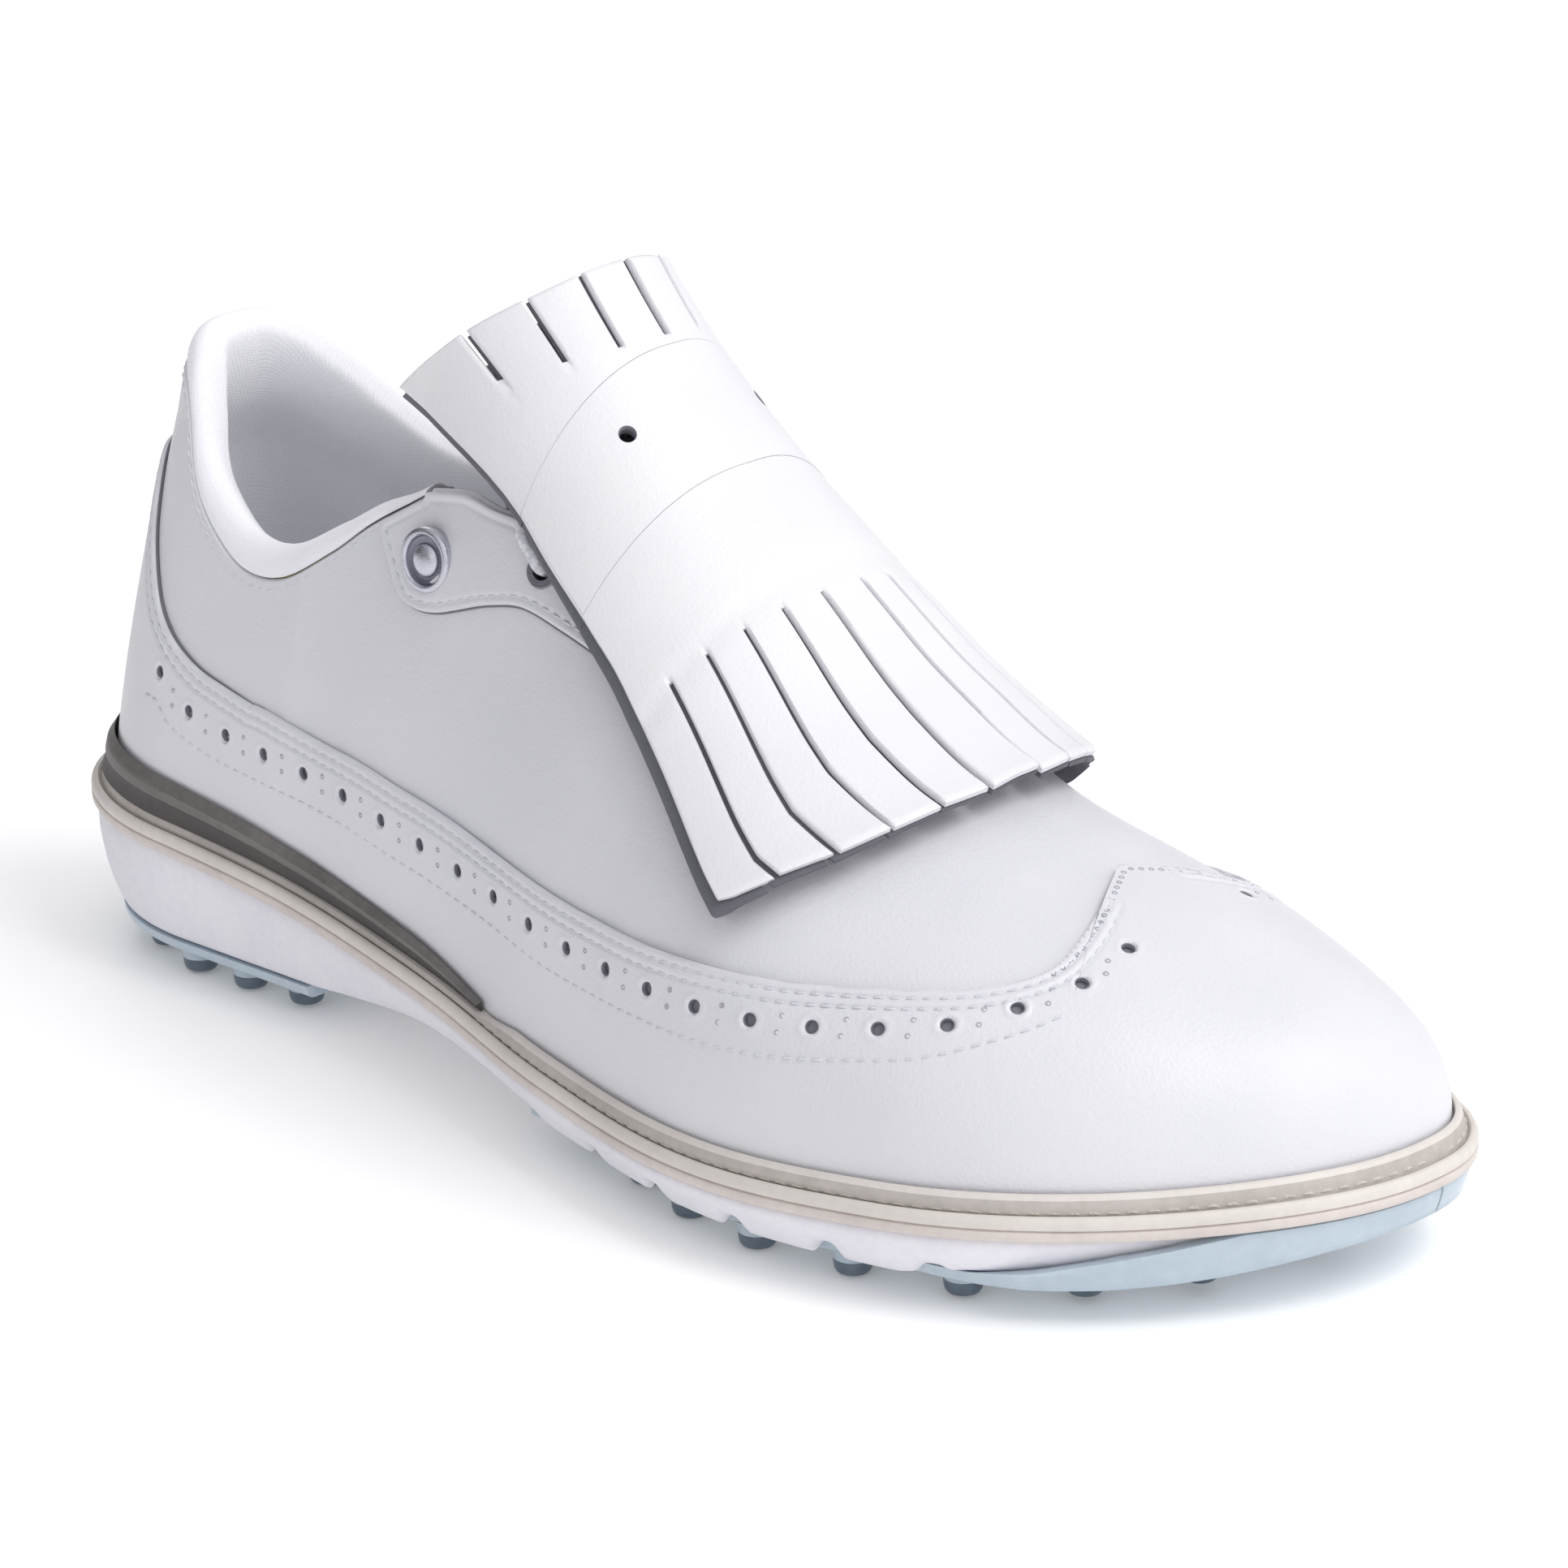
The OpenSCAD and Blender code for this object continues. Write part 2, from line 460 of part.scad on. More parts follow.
module heel_counter() {
    color("wheat") loft([for (r = counter_wrap) let (
        u = share(r[1]),
        lo = s_for(r[0], u, curve(feather_z, r[1]) + counter_low),
        hi = s_for(r[0], u, min(collar_top(r[0], r[1]) - 16, 76) - clamp(r[1] - 50, 0, 30) * 0.45))
        concat([for (j = [0:4]) skin(r[0], u, s_between(lo, hi, j / 4), stiffener_out)],
            [for (j = [4:-1:0]) skin(r[0], u, s_between(lo, hi, j / 4), stiffener_in)])]);
}
module toe_puff() {
    color("wheat") toe_sheet(between(234, toe_x), function (side, x) 0,
        function (side, x) 1, 9, stiffener_in, stiffener_out);
}

// ---- upper, outside ----
vamp_seam = 178;
heel_seam_x = 9.0003;
module vamp() {
    color("white") toe_sheet(between(vamp_seam, toe_x), function (side, x) 0,
        function (side, x) 1, 12, leather_in, leather_out);
}
module quarter(side) {
    xs = concat([heel_seam_x], between(9.1, 169), [vamp_seam - 0.4]);
    difference() {
        side_sheet(side, xs, function (d, x) 0, function (d, x) top_s(d, x), 12, leather_in, leather_out);
        eyelet_bores(side);
    }
}
module quarter_lateral() {
    color("white") quarter(-1);
}
module quarter_medial() {
    color("white") quarter(1);
}
function punch_walk(x, left) = left <= 0 || x >= punch_end_x ? x : let (
    a = skin(-1, share(x), curve(punch_s, x), overlay_out),
    b = skin(-1, share(x + 0.5), curve(punch_s, x + 0.5), overlay_out))
    punch_walk(x + 0.5, left - norm(b - a));
function punch_list(x) = x >= punch_end_x ? [] : concat([x], punch_list(punch_walk(x, punch_pitch)));
module long_wing() {
    color("white") difference() {
        toe_sheet(concat([heel_seam_x], between(9.1, 234), peak_stations, between(246, toe_x)),
            function (side, x) 0,
            function (side, x) wing_top(side, x), 12, overlay_in, overlay_out);
        for (side = [-1, 1]) for (x = punch_list(34)) let (
            u = share(x),
            s = curve(punch_s, x))
            at(skin(side, u, s, overlay_in - 1), skin_dir(side, u, s)) cylinder(h = 4, r = punch_r,
                $fn = small_fn);
        at(skin(-1, share(middle_punch_x), 1, overlay_in - 1), skin_dir(-1, share(middle_punch_x), 1))
            cylinder(h = 4, r = punch_r, $fn = small_fn);
    }
}
tab_s = [[88, 0.48], [90, 0.455], [94, 0.44], [99, 0.452], [105, 0.49], [110, 0.533], [118, 0.61],
    [126, 0.68], [136, 0.735], [144, 0.771], [152, 0.8], [160, 0.828], [169, 0.86], [178, 0.89]];
module eyestay(side) {
    xs = concat([88], [90, 94], between(97, 169), [vamp_seam - 0.4]);
    difference() {
        side_sheet(side, xs, function (d, x) curve(tab_s, x), function (d, x) top_s(d, x) - 0.004, 4,
            overlay_in, overlay_out);
        eyelet_bores(side);
    }
}
module eyestay_lateral() {
    color("white") difference() {
        eyestay(-1);
        at_button(leather_in) cylinder(h = 6, r = button_r + 0.15, $fn = button_fn);
    }
}
module eyestay_medial() {
    color("white") eyestay(1);
}
button_x = 101.5;
button_s = 0.533;
button_r = 5.6;
button_fn = 36;
module at_button(off) {
    u = share(button_x);
    at(skin(-1, u, button_s, off), skin_dir(-1, u, button_s)) children();
}
module side_button() {
    color("gainsboro") at_button(overlay_out + 0.2) rotate_extrude() polygon([[0, -0.8], [2, -0.8],
        [2, 0], [button_r, 0], [button_r, 0.9], [button_r - 0.6, 1.5], [button_r - 1.3, 1.5],
        [button_r - 1.8, 0.9], [2.6, 0.9], [1.6, 1.6], [0, 1.8]]);
}

// ---- lacing ----
rows = [168, 155, 142, 128.5];
function eye_s(x) = curve(throat_s, x) - 0.045;
function eye_at(side, x, off) = skin(side, share(x), eye_s(x), off);
module eyelet_bores(side) {
    for (x = rows) at(eye_at(side, x, leather_in - 2), skin_dir(side, share(x), eye_s(x)))
        cylinder(h = 6, r = eyelet_r + 0.85, $fn = small_fn);
}
module eyelets() {
    color("gray") for (side = [-1, 1]) for (x = rows)
        at(eye_at(side, x, leather_in + 0.1), skin_dir(side, share(x), eye_s(x))) rotate_extrude()
            polygon([[eyelet_r, 0], [eyelet_r + 0.5, 0], [eyelet_r + 0.5, overlay_out - leather_in + 0.25],
                [eyelet_r + 1.3, overlay_out - leather_in + 0.25],
                [eyelet_r + 1.1, overlay_out - leather_in + 0.55],
                [eyelet_r, overlay_out - leather_in + 0.55]]);
}

// ---- tongue ----
tongue_edge = [[93, 0.65], [97, 0.67], [107, 0.71], [117, 0.68], [127, 0.67], [138, 0.7], [150, 0.74],
    [169, 0.8], [188, 0.86]];
tongue_side_x = 94;
tongue_mid_x = 113;
tongue_base_x = 188;
tongue_split = 124;
across = [-1, -0.86, -0.72, -0.6, -0.5, -0.38, -0.25, -0.12, 0, 0.12, 0.25, 0.38, 0.5, 0.6, 0.72,
    0.86, 1];
function across_s(w, e) = w == 0 ? 1 : s_between(e, 1, 1 - abs(w));
pad_out = 4.7;
function tongue_out(w, x) = let (f = clamp((0.62 - abs(w)) / 0.14, 0, 1), g = clamp((168 - x) / 14, 0, 1))
    -0.8 - tongue_dip(x) + (pad_out + 0.8) * f * g;
function tongue_dip(x) = 1.4 * clamp((x - 164) / 6, 0, 1);
function tongue_x(w, i, n, a, b) = a(w) + (b(w) - a(w)) * i / n;
module tongue_piece(n, a, b) {
    leaf([for (i = [0:n]) [for (w = across) let (x = tongue_x(w, i, n, a, b))
            [w <= 0 ? -1 : 1, share(x), across_s(w, curve(tongue_edge, x))]]],
        function (i, j) true,
        function (i, j) -2 - tongue_dip(tongue_x(across[j], i, n, a, b)),
        function (i, j) tongue_out(across[j], tongue_x(across[j], i, n, a, b)));
}
module tongue() {
    color("silver") tongue_piece(8, function (w) tongue_split + 0.4, function (w) tongue_base_x);
}
module tongue_tip() {
    color("silver") tongue_piece(4, function (w) tongue_mid_x - (tongue_mid_x - tongue_side_x) * pow(abs(w), 3),
        function (w) tongue_split);
}

// ---- kiltie ----
kiltie_edge = [[93, 0.685], [107, 0.742], [121, 0.785], [132, 0.795], [144, 0.797], [154, 0.785],
    [168, 0.735], [185, 0.64]];
apron_split = 142;
saddle_front = 141.6;
fringe_root = 162.5;
fringe_side = 183.5;
fringe_mid = 206.3;
top_root_side = 101.6;
top_root_mid = 122.6;
top_side = 94.1;
top_mid = 112.8;
function strip_edges(n) = concat([-1],
    flat([for (i = [1:n - 1]) [-1 + (2 * i - cut_share) / n, -1 + (2 * i + cut_share) / n]]), [1]);
apron_w = strip_edges(fringe_n);
top_w = strip_edges(top_fringe_n);
function kiltie_pt(w, x) = [w <= 0 ? -1 : 1, share(x),
    across_s(abs(w) < 0.0001 ? 0 : w, curve(kiltie_edge, x))];
function apron_front(w) = fringe_side + (fringe_mid - fringe_side) * (1 - pow(abs(w), 1.6));
function apron_x(w, i) = i == 0 ? apron_split : i == 1 ? 149 : i == 2 ? 156 : i == 3 ? fringe_root
    : fringe_root + (apron_front(w) - fringe_root) * (i - 3) / 4;
function top_root(w) = top_root_mid - (top_root_mid - top_root_side) * pow(abs(w), 2.4);
function top_back(w) = top_mid - (top_mid - top_side) * pow(abs(w), 2.6);
function top_x(w, i) = i == 5 ? tongue_split : i == 4 ? (top_root(w) + tongue_split) / 2
    : top_back(w) + (top_root(w) - top_back(w)) * i / 3;
module apron_layer(a, b) {
    leaf([for (i = [0:7]) [for (w = apron_w) kiltie_pt(w, apron_x(w, i))]],
        function (i, j) i < 3 || j % 2 == 0, function (i, j) a, function (i, j) b);
}
module top_layer(a, b) {
    leaf([for (i = [0:5]) [for (w = top_w) kiltie_pt(w, top_x(w, i))]],
        function (i, j) i >= 3 || j % 2 == 0, function (i, j) a, function (i, j) b);
}
saddle_w = [for (j = [0:16]) -1 + j / 8];
hole_w = 0.44;
hole_x = 131.2;
hole_r = 1.5;
module saddle_layer(a, b) {
    difference() {
        leaf([for (x = [tongue_split + 0.4, 130, 136, saddle_front]) [for (w = saddle_w) kiltie_pt(w, x)]],
            function (i, j) true, function (i, j) a, function (i, j) b);
        for (w = [-hole_w, hole_w]) let (g = kiltie_pt(w, hole_x))
            at(skin(g[0], g[1], g[2], a - 2), skin_dir(g[0], g[1], g[2]))
                cylinder(h = 6, r = hole_r, $fn = small_fn);
    }
}
module kiltie_saddle() {
    color("white") saddle_layer(face_in, face_out);
}
module kiltie_saddle_backing() {
    color("dimgray") saddle_layer(backing_in, backing_out);
}
module kiltie_apron() {
    color("white") apron_layer(face_in, face_out);
}
module kiltie_apron_backing() {
    color("dimgray") apron_layer(backing_in, backing_out);
}
module kiltie_top() {
    color("white") top_layer(face_in, face_out);
}
module kiltie_top_backing() {
    color("dimgray") top_layer(backing_in, backing_out - 0.1);
}

// ---- lace, one cord from the lateral end to the medial end ----
lane_v = 0.034;
bend_r = 2;
function lane_s(x, lane) = unturn(turn(eye_s(x)) + lane * lane_v);
function over_pt(w, x) = skin(w <= 0 ? -1 : 1, share(x), across_s(w, eye_s(x)), cord_top);
function under_pt(side, x, lane) = skin(side, share(x), lane_s(x, lane), cord_under);
bar_w = [-0.72, -0.48, -0.24, 0, 0.24, 0.48, 0.72];
function bar(x, flip) = [for (w = bar_w) [over_pt(flip ? -w : w, x), 0]];
function dive(side, x) = [[eye_at(side, x, cord_top), 1], [eye_at(side, x, cord_under), 1]];
function climb(side, x) = [[eye_at(side, x, cord_under), 1], [eye_at(side, x, cord_top), 1]];
function under(side, x, lane) = [[under_pt(side, x, lane), 0]];
// The cord shows as a short loop beside the saddle before it enters the top eyelet
loop_x = 122.5;
loop_s = 0.772;
cord_route = concat([[over_pt(-0.12, rows[3]), 0], [over_pt(-0.4, rows[3]), 0],
    [over_pt(-0.66, (rows[3] + loop_x) / 2), 0], [skin(-1, share(loop_x), loop_s, cord_top), 0]],
    dive(-1, rows[3]), under(-1, 135, 0), climb(-1, rows[2]), bar(rows[2], false), dive(1, rows[2]),
    under(1, 148.5, -0.6), under(1, rows[1], -1), under(1, 161.5, -0.6), climb(1, rows[0]),
    bar(rows[0], true), dive(-1, rows[0]), under(-1, 161.5, 0), climb(-1, rows[1]),
    bar(rows[1], false), dive(1, rows[1]), under(1, 148.5, 0.6), under(1, rows[2], 1),
    under(1, 135, 0.6), climb(1, rows[3]),
    [[over_pt(0.72, rows[3]), 0], [over_pt(0.4, rows[3]), 0], [over_pt(0.12, rows[3]), 0]]);
function corner(a, c, b) = let (
    p = c + (a - c) / norm(a - c) * bend_r,
    q = c + (b - c) / norm(b - c) * bend_r)
    [for (t = [0:0.25:1]) p * (1 - t) * (1 - t) + c * 2 * t * (1 - t) + q * t * t];
cord_line = flat([for (i = [0:len(cord_route) - 1]) cord_route[i][1] == 0 ? [cord_route[i][0]]
    : corner(cord_route[i - 1][0], cord_route[i][0], cord_route[i + 1][0])]);
function unit(v) = v / norm(v);
function heading(p, i) = unit(p[min(i + 1, len(p) - 1)] - p[max(i - 1, 0)]);
function frames(p, i, prev) = i >= len(p) ? [] : let (
    d = heading(p, i),
    n = unit(prev - d * (prev * d)))
    concat([[n, cross(d, n)]], frames(p, i + 1, n));
module lace() {
    fr = frames(cord_line, 0, [1, 0, 0.3]);
    color("white") loft([for (i = [0:len(cord_line) - 1]) [for (a = [300:-60:0])
        cord_line[i] + (fr[i][0] * cos(a) + fr[i][1] * sin(a)) * lace_r]]);
}

outsole_heel();
outsole_forefoot();
midsole();
shank();
insole_board();
footbed();
welt();
heel_rand();
vamp_lining();
collar_lining();
collar_pad();
heel_counter();
toe_puff();
vamp();
quarter_lateral();
quarter_medial();
long_wing();
eyestay_lateral();
eyestay_medial();
side_button();
eyelets();
tongue();
tongue_tip();
lace();
kiltie_saddle();
kiltie_saddle_backing();
kiltie_apron();
kiltie_apron_backing();
kiltie_top();
kiltie_top_backing();
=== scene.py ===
import math
import random

import bmesh
import bpy
import numpy as np
from mathutils import Matrix, Vector, kdtree


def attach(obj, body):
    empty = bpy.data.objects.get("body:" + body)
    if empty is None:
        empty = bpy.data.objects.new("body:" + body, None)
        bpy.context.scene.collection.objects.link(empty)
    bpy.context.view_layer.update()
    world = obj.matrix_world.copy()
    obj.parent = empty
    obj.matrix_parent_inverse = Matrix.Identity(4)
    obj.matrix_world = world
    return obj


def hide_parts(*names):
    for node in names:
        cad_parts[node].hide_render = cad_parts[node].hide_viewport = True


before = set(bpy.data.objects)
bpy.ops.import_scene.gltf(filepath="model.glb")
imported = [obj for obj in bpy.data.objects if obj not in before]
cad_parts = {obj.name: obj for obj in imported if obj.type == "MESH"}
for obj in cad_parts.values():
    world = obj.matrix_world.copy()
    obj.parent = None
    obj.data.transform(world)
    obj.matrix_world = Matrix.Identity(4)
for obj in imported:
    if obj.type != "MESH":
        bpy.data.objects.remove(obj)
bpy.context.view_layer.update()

MM = 0.001

# ---------------------------------------------------------------- surface of the foot, in mm
HEEL_X, TOE_X = 9.0, 273.0
PLAN_L = TOE_X - HEEL_X
CENTRE_X, CENTRE_Y = 140.75, -7.565
POWER = 2.35
LATERAL_W = [[0, 25], [45, 26], [80, 28], [115, 34], [150, 43.5], [185, 51], [220, 50], [248, 44],
             [273, 35]]
MEDIAL_W = [[0, 25], [45, 26], [80, 26], [115, 27], [150, 31], [185, 36.5], [220, 36], [248, 31],
            [273, 25]]
CENTRE_LINE = [[0, 0], [60, 0], [120, 0], [190, -1], [220, 1], [248, 4], [273, 9]]
FEATHER_Z = [[0, 33.5], [58, 29], [105, 23], [142, 19], [188, 18], [234, 20], [278, 22]]
RIDGE_Z = [[0, 195], [58, 190], [86, 168], [105, 142], [123, 120], [142, 101.5], [160, 86.5],
           [179, 71.5], [197, 60.5], [216, 54], [234, 49.5], [253, 45], [273, 42]]
RIDGE_X = [[6, 44], [50, 56], [95, 96], [190, 188], [235, 219], [273, 232]]
LEAN_HEEL = [[30, 0], [48, -3.5], [68, -7.6], [88, -11.2], [104, -14.6], [124, -19]]
LEAN_SIDE = [[20, 0], [42, 2], [62, 0.5], [78, -2.5], [98, -7]]
COLLAR_Z = [[9, 107.5], [18, 106.5], [26, 103], [31, 96.5], [36, 89], [43, 82.3], [53, 77.5],
            [64, 78.2], [76, 85], [84, 91], [92, 95.8], [97, 98.5], [107, 101]]
COLLAR_Z_MEDIAL = [[9, 107.5], [18, 107.3], [28, 104.5], [36, 101.5], [44, 98], [53, 93],
                   [62, 88.5], [71, 87], [80, 89], [88, 93], [97, 98.5], [107, 101]]
ROLL_H = [[9, 5.5], [20, 5.5], [31, 6], [44, 5.5], [61, 5], [74, 4.5], [84, 3], [92, 1.6],
          [107, 1.2]]
THROAT_S = [[97, 0.585], [107, 0.67], [114, 0.716], [120, 0.76], [127, 0.8], [138, 0.84],
            [150, 0.87], [160, 0.895], [169, 0.915], [178, 0.94]]
WING_HEEL_Z = [[9, 92], [14, 91], [18, 87], [22, 79], [26, 73], [31, 66.5], [37, 61.8],
               [44, 58.8], [52, 57.3], [61, 56]]
WING_S = [[61, 0.172], [80.5, 0.189], [97.3, 0.22], [118.9, 0.274], [131, 0.303], [143.5, 0.334],
          [154, 0.365], [167, 0.417], [180, 0.488], [201.5, 0.614], [224.6, 0.741],
          [233.8, 0.813], [238.4, 0.872], [241, 0.937], [242, 0.97], [242.4, 1]]
PUNCH_S = [[34, 0.152], [38, 0.134], [48, 0.125], [58, 0.125], [70, 0.134], [94, 0.162],
           [119, 0.207], [132, 0.233], [146, 0.257], [159, 0.293], [173, 0.347], [186, 0.407],
           [198, 0.472], [210, 0.539], [223, 0.621], [233.5, 0.727], [243.5, 0.845],
           [251.4, 0.951]]
TAB_S = [[88, 0.48], [90, 0.455], [94, 0.44], [99, 0.452], [105, 0.49], [110, 0.533],
         [118, 0.61], [126, 0.68], [136, 0.735], [144, 0.771], [152, 0.8], [160, 0.828],
         [169, 0.86], [178, 0.89]]
LEDGE = [[9, 9.5], [25, 8.5], [60, 8], [130, 7.6], [240, 8], [273, 9]]
BOTTOM_Z = [[9, 7], [70, 7], [82, 8], [104, 9.8], [126, 8.4], [140, 7], [235, 7], [258, 9],
            [273, 12.5]]
RAND_H = [[9, 8], [60, 7], [107, 4.5], [127, 1.6]]
KILTIE_EDGE = [[93, 0.685], [107, 0.742], [121, 0.785], [132, 0.795], [144, 0.797], [154, 0.785],
               [168, 0.735], [185, 0.64]]
TONGUE_EDGE = [[93, 0.65], [97, 0.67], [107, 0.71], [117, 0.68], [127, 0.67], [138, 0.7],
               [150, 0.74], [169, 0.8], [188, 0.86]]
LEATHER_IN, LEATHER_OUT = 2.0, 3.2
OVERLAY_IN, OVERLAY_OUT = 3.45, 4.55
CORD_TOP, CORD_UNDER = 6.55, 0.6
BACKING_IN, BACKING_OUT = 8.1, 8.9
FACE_IN, FACE_OUT = 9.15, 10.35
LINING_T = 0.8
WELT_H = 5.6
WELT_IN = -5.0
VAMP_SEAM = 178.0
PEAK_X = 242.4
WELT_RIM = OVERLAY_OUT + 0.5
SOLE_GAP = 0.15
COLLAR_FRONT = 96
THROAT_X = 97
WING_HEEL_END = 61
PUNCH_START, PUNCH_END = 34, 254
# where the toe of the sole starts to rise, and over what length
TOE_RISE_X, TOE_RISE_L = 232, 30
HOLE_PITCH = 11.0
HOLE_R = 1.0
EYELET_HOLE_R = 2.2
EDGE_STATIONS = 1500
# distances from an overlay's edge to its rows of stitches, and the width of a row's groove
SEAM, SECOND_SEAM = 1.5, 3.3
SEAM_W = 0.4


def curve(table, x):
    """The smooth curve through a table of [x, value] rows."""
    t = np.asarray(table, float)
    xs, ys = t[:, 0], t[:, 1]
    m = np.empty(len(xs))
    m[1:-1] = (ys[2:] - ys[:-2]) / (xs[2:] - xs[:-2])
    m[0] = (ys[1] - ys[0]) / (xs[1] - xs[0])
    m[-1] = (ys[-1] - ys[-2]) / (xs[-1] - xs[-2])
    x = np.clip(x, xs[0], xs[-1])
    i = np.clip(np.searchsorted(xs, x, side="left") - 1, 0, len(xs) - 2)
    h = xs[i + 1] - xs[i]
    s = (x - xs[i]) / h
    return ((2 * s ** 3 - 3 * s ** 2 + 1) * ys[i] + (s ** 3 - 2 * s ** 2 + s) * h * m[i]
            + (3 * s ** 2 - 2 * s ** 3) * ys[i + 1] + (s ** 3 - s ** 2) * h * m[i + 1])


def share(x):
    """Share of the length, closer spaced at heel and toe, at which a station lies."""
    return np.arccos(np.clip(1 - 2 * (np.asarray(x, float) - HEEL_X) / PLAN_L, -1, 1)) / math.pi


def x_of(u):
    return HEEL_X + PLAN_L / 2 * (1 - np.cos(math.pi * np.asarray(u, float)))


def outline(side, u):
    """Place of the feather edge in plan, rounded at the heel and more slowly at the toe."""
    heel_l, heel_power = 30, 2.2
    toe_l, toe_power = 56, 2.3
    x = x_of(u)
    a = np.clip(1 - (x - HEEL_X) / heel_l, 0, 1)
    b = np.clip((x - TOE_X + toe_l) / toe_l, 0, 1)
    blunt = (1 - a ** heel_power) ** (1 / heel_power) * (1 - b ** toe_power) ** (1 / toe_power)
    w = np.where(np.asarray(side) < 0, curve(LATERAL_W, x), curve(MEDIAL_W, x))
    return x, curve(CENTRE_LINE, x) + side * blunt * w


def out_dir(side, u):
    """Outward direction in plan, square to the outline."""
    u = np.asarray(u, float)
    ax, ay = outline(side, np.maximum(u - 0.001, 0))
    bx, by = outline(side, np.minimum(u + 0.001, 1))
    dx, dy = bx - ax, by - ay
    n = np.maximum(np.hypot(dx, dy), 1e-9)
    nx, ny = -side * dy / n, side * dx / n
    heel, toe = u < 1e-4, u > 0.9999
    nx = np.where(heel, -1.0, np.where(toe, 1.0, nx))
    ny = np.where(heel | toe, 0.0, ny)
    return nx, ny


def unit(v):
    return v / np.linalg.norm(v, axis=-1, keepdims=True)


def spread(*values):
    return np.broadcast_arrays(*[np.asarray(v, float) for v in values])


def sole_pt(side, u, off, z):
    """A point at a height, offset outward from the outline."""
    side, u, off, z = spread(side, u, off, z)
    x, y = outline(side, u)
    nx, ny = out_dir(side, u)
    return np.stack([x + nx * off - CENTRE_X, y + ny * off - CENTRE_Y, z], -1)


def skin_parts(side, u, s):
    """Place and outward normal of the foot surface at a side, a share of the length and s."""
    side, u, s = spread(side, u, s)
    bx, by = outline(side, u)
    nx, ny = out_dir(side, u)
    rx = curve(RIDGE_X, bx)
    ry = curve(CENTRE_LINE, rx)
    o = np.maximum(1 - s ** POWER, 0) ** (1 / POWER)
    qx, qy = bx + (rx - bx) * (1 - o), by + (ry - by) * (1 - o)
    z0 = curve(FEATHER_Z, bx)
    top = curve(RIDGE_Z, qx)
    z = z0 + (top - z0) * s
    # the heel leans by its own table, which fades into the lean of the sides and then to none
    hx = np.clip(1 - bx / 70, 0, 1)
    k = o * (hx * curve(LEAN_HEEL, z)
             + (1 - hx) * curve(LEAN_SIDE, z) * np.clip((160 - bx) / 60, 0, 1))
    ow = o ** (POWER - 1) / np.maximum(np.hypot(rx - bx, ry - by), 1)
    sw = s ** (POWER - 1) / (top - z0)
    hs = (curve(RIDGE_Z, qx + 1) - curve(RIDGE_Z, qx - 1)) / 2
    m = np.stack([nx * ow - hs * sw, ny * ow, sw], -1)
    return np.stack([qx + nx * k - CENTRE_X, qy + ny * k - CENTRE_Y, z], -1), unit(m)


def skin(side, u, s, off):
    """A point offset from the foot surface along its normal."""
    p, n = skin_parts(side, u, s)
    return p + n * np.broadcast_to(np.asarray(off, float), p.shape[:-1])[..., None]


def s_for(side, u, z):
    """The s at which the foot surface has that height."""
    side, u, z = spread(side, u, z)
    bx, _ = outline(side, u)
    rx = curve(RIDGE_X, bx)
    z0 = curve(FEATHER_Z, bx)
    s = np.full(bx.shape, 0.3)
    for _ in range(8):
        o = np.maximum(1 - s ** POWER, 0) ** (1 / POWER)
        s = np.clip((z - z0) / (curve(RIDGE_Z, bx + (rx - bx) * (1 - o)) - z0), 0, 1)
    return s


def turn(s):
    """s as an even share of the way round a section. unturn is its inverse."""
    return np.arcsin(np.clip(s, 0, 1) ** (POWER / 2)) / (math.pi / 2)


def unturn(v):
    return np.sin(math.pi / 2 * np.clip(v, 0, 1)) ** (2 / POWER)


def s_between(a, b, f):
    """The s at an even share f of the way from a to b."""
    a, b, f = spread(a, b, f)
    return np.where(f >= 1, b, np.where(f <= 0, a, unturn(turn(a) + (turn(b) - turn(a)) * f)))


def collar_top(side, x):
    return np.where(np.asarray(side) < 0, curve(COLLAR_Z, x), curve(COLLAR_Z_MEDIAL, x))


def top_s(side, x):
    """The upper edge of the quarters: the collar and then the throat."""
    x = np.asarray(x, float)
    return np.where(x <= THROAT_X, s_for(side, share(x), collar_top(side, x)), curve(THROAT_S, x))


def wing_top(side, x):
    """The upper edge of the wing, which closes over the toe at its peak."""
    x = np.asarray(x, float)
    low = s_for(side, share(x), curve(WING_HEEL_Z, x))
    return np.where(x <= WING_HEEL_END, low, np.where(x >= PEAK_X, 1.0, curve(WING_S, x)))


def toe_wrap(x):
    return np.clip((x - TOE_RISE_X) / TOE_RISE_L, 0, 1)


def under_lip(x):
    """Where the midsole hangs over the edge of the forefoot outsole."""
    return np.clip((x - 139) / 4, 0, 1) * np.clip((TOE_RISE_X - x) / 10, 0, 1)


def welt_top(x):
    return curve(FEATHER_Z, x) - 0.3


def waves(p, scale, seed):
    """A slow, smooth, repeatable ripple between about -1 and 1 over points in mm."""
    rng = random.Random(seed)
    total = np.zeros(p.shape[:-1])
    for _ in range(6):
        d = np.array([rng.gauss(0, 1) for _ in range(3)])
        d *= 2 * math.pi / scale * rng.uniform(0.6, 1.5) / np.linalg.norm(d)
        total += np.sin(p @ d + rng.uniform(0, 6.28))
    return total / 3


def nearest(points, targets):
    """For each point, the index of its nearest target and how far it is."""
    kd = kdtree.KDTree(len(targets))
    for i, t in enumerate(targets):
        kd.insert(t, i)
    kd.balance()
    flat = points.reshape(-1, 3)
    found = [kd.find(p)[1:] for p in flat]
    index = np.array([f[0] for f in found]).reshape(points.shape[:-1])
    dist = np.array([f[1] for f in found]).reshape(points.shape[:-1])
    return index, dist


def tangents(path):
    return unit(np.gradient(path, axis=0))


def inward(line, normals, inner):
    """The direction in a surface, square to a line on it, that points to the inner points."""
    g = np.cross(normals, tangents(line))
    return g * np.sign(np.sum(g * (inner - line), 1, keepdims=True))


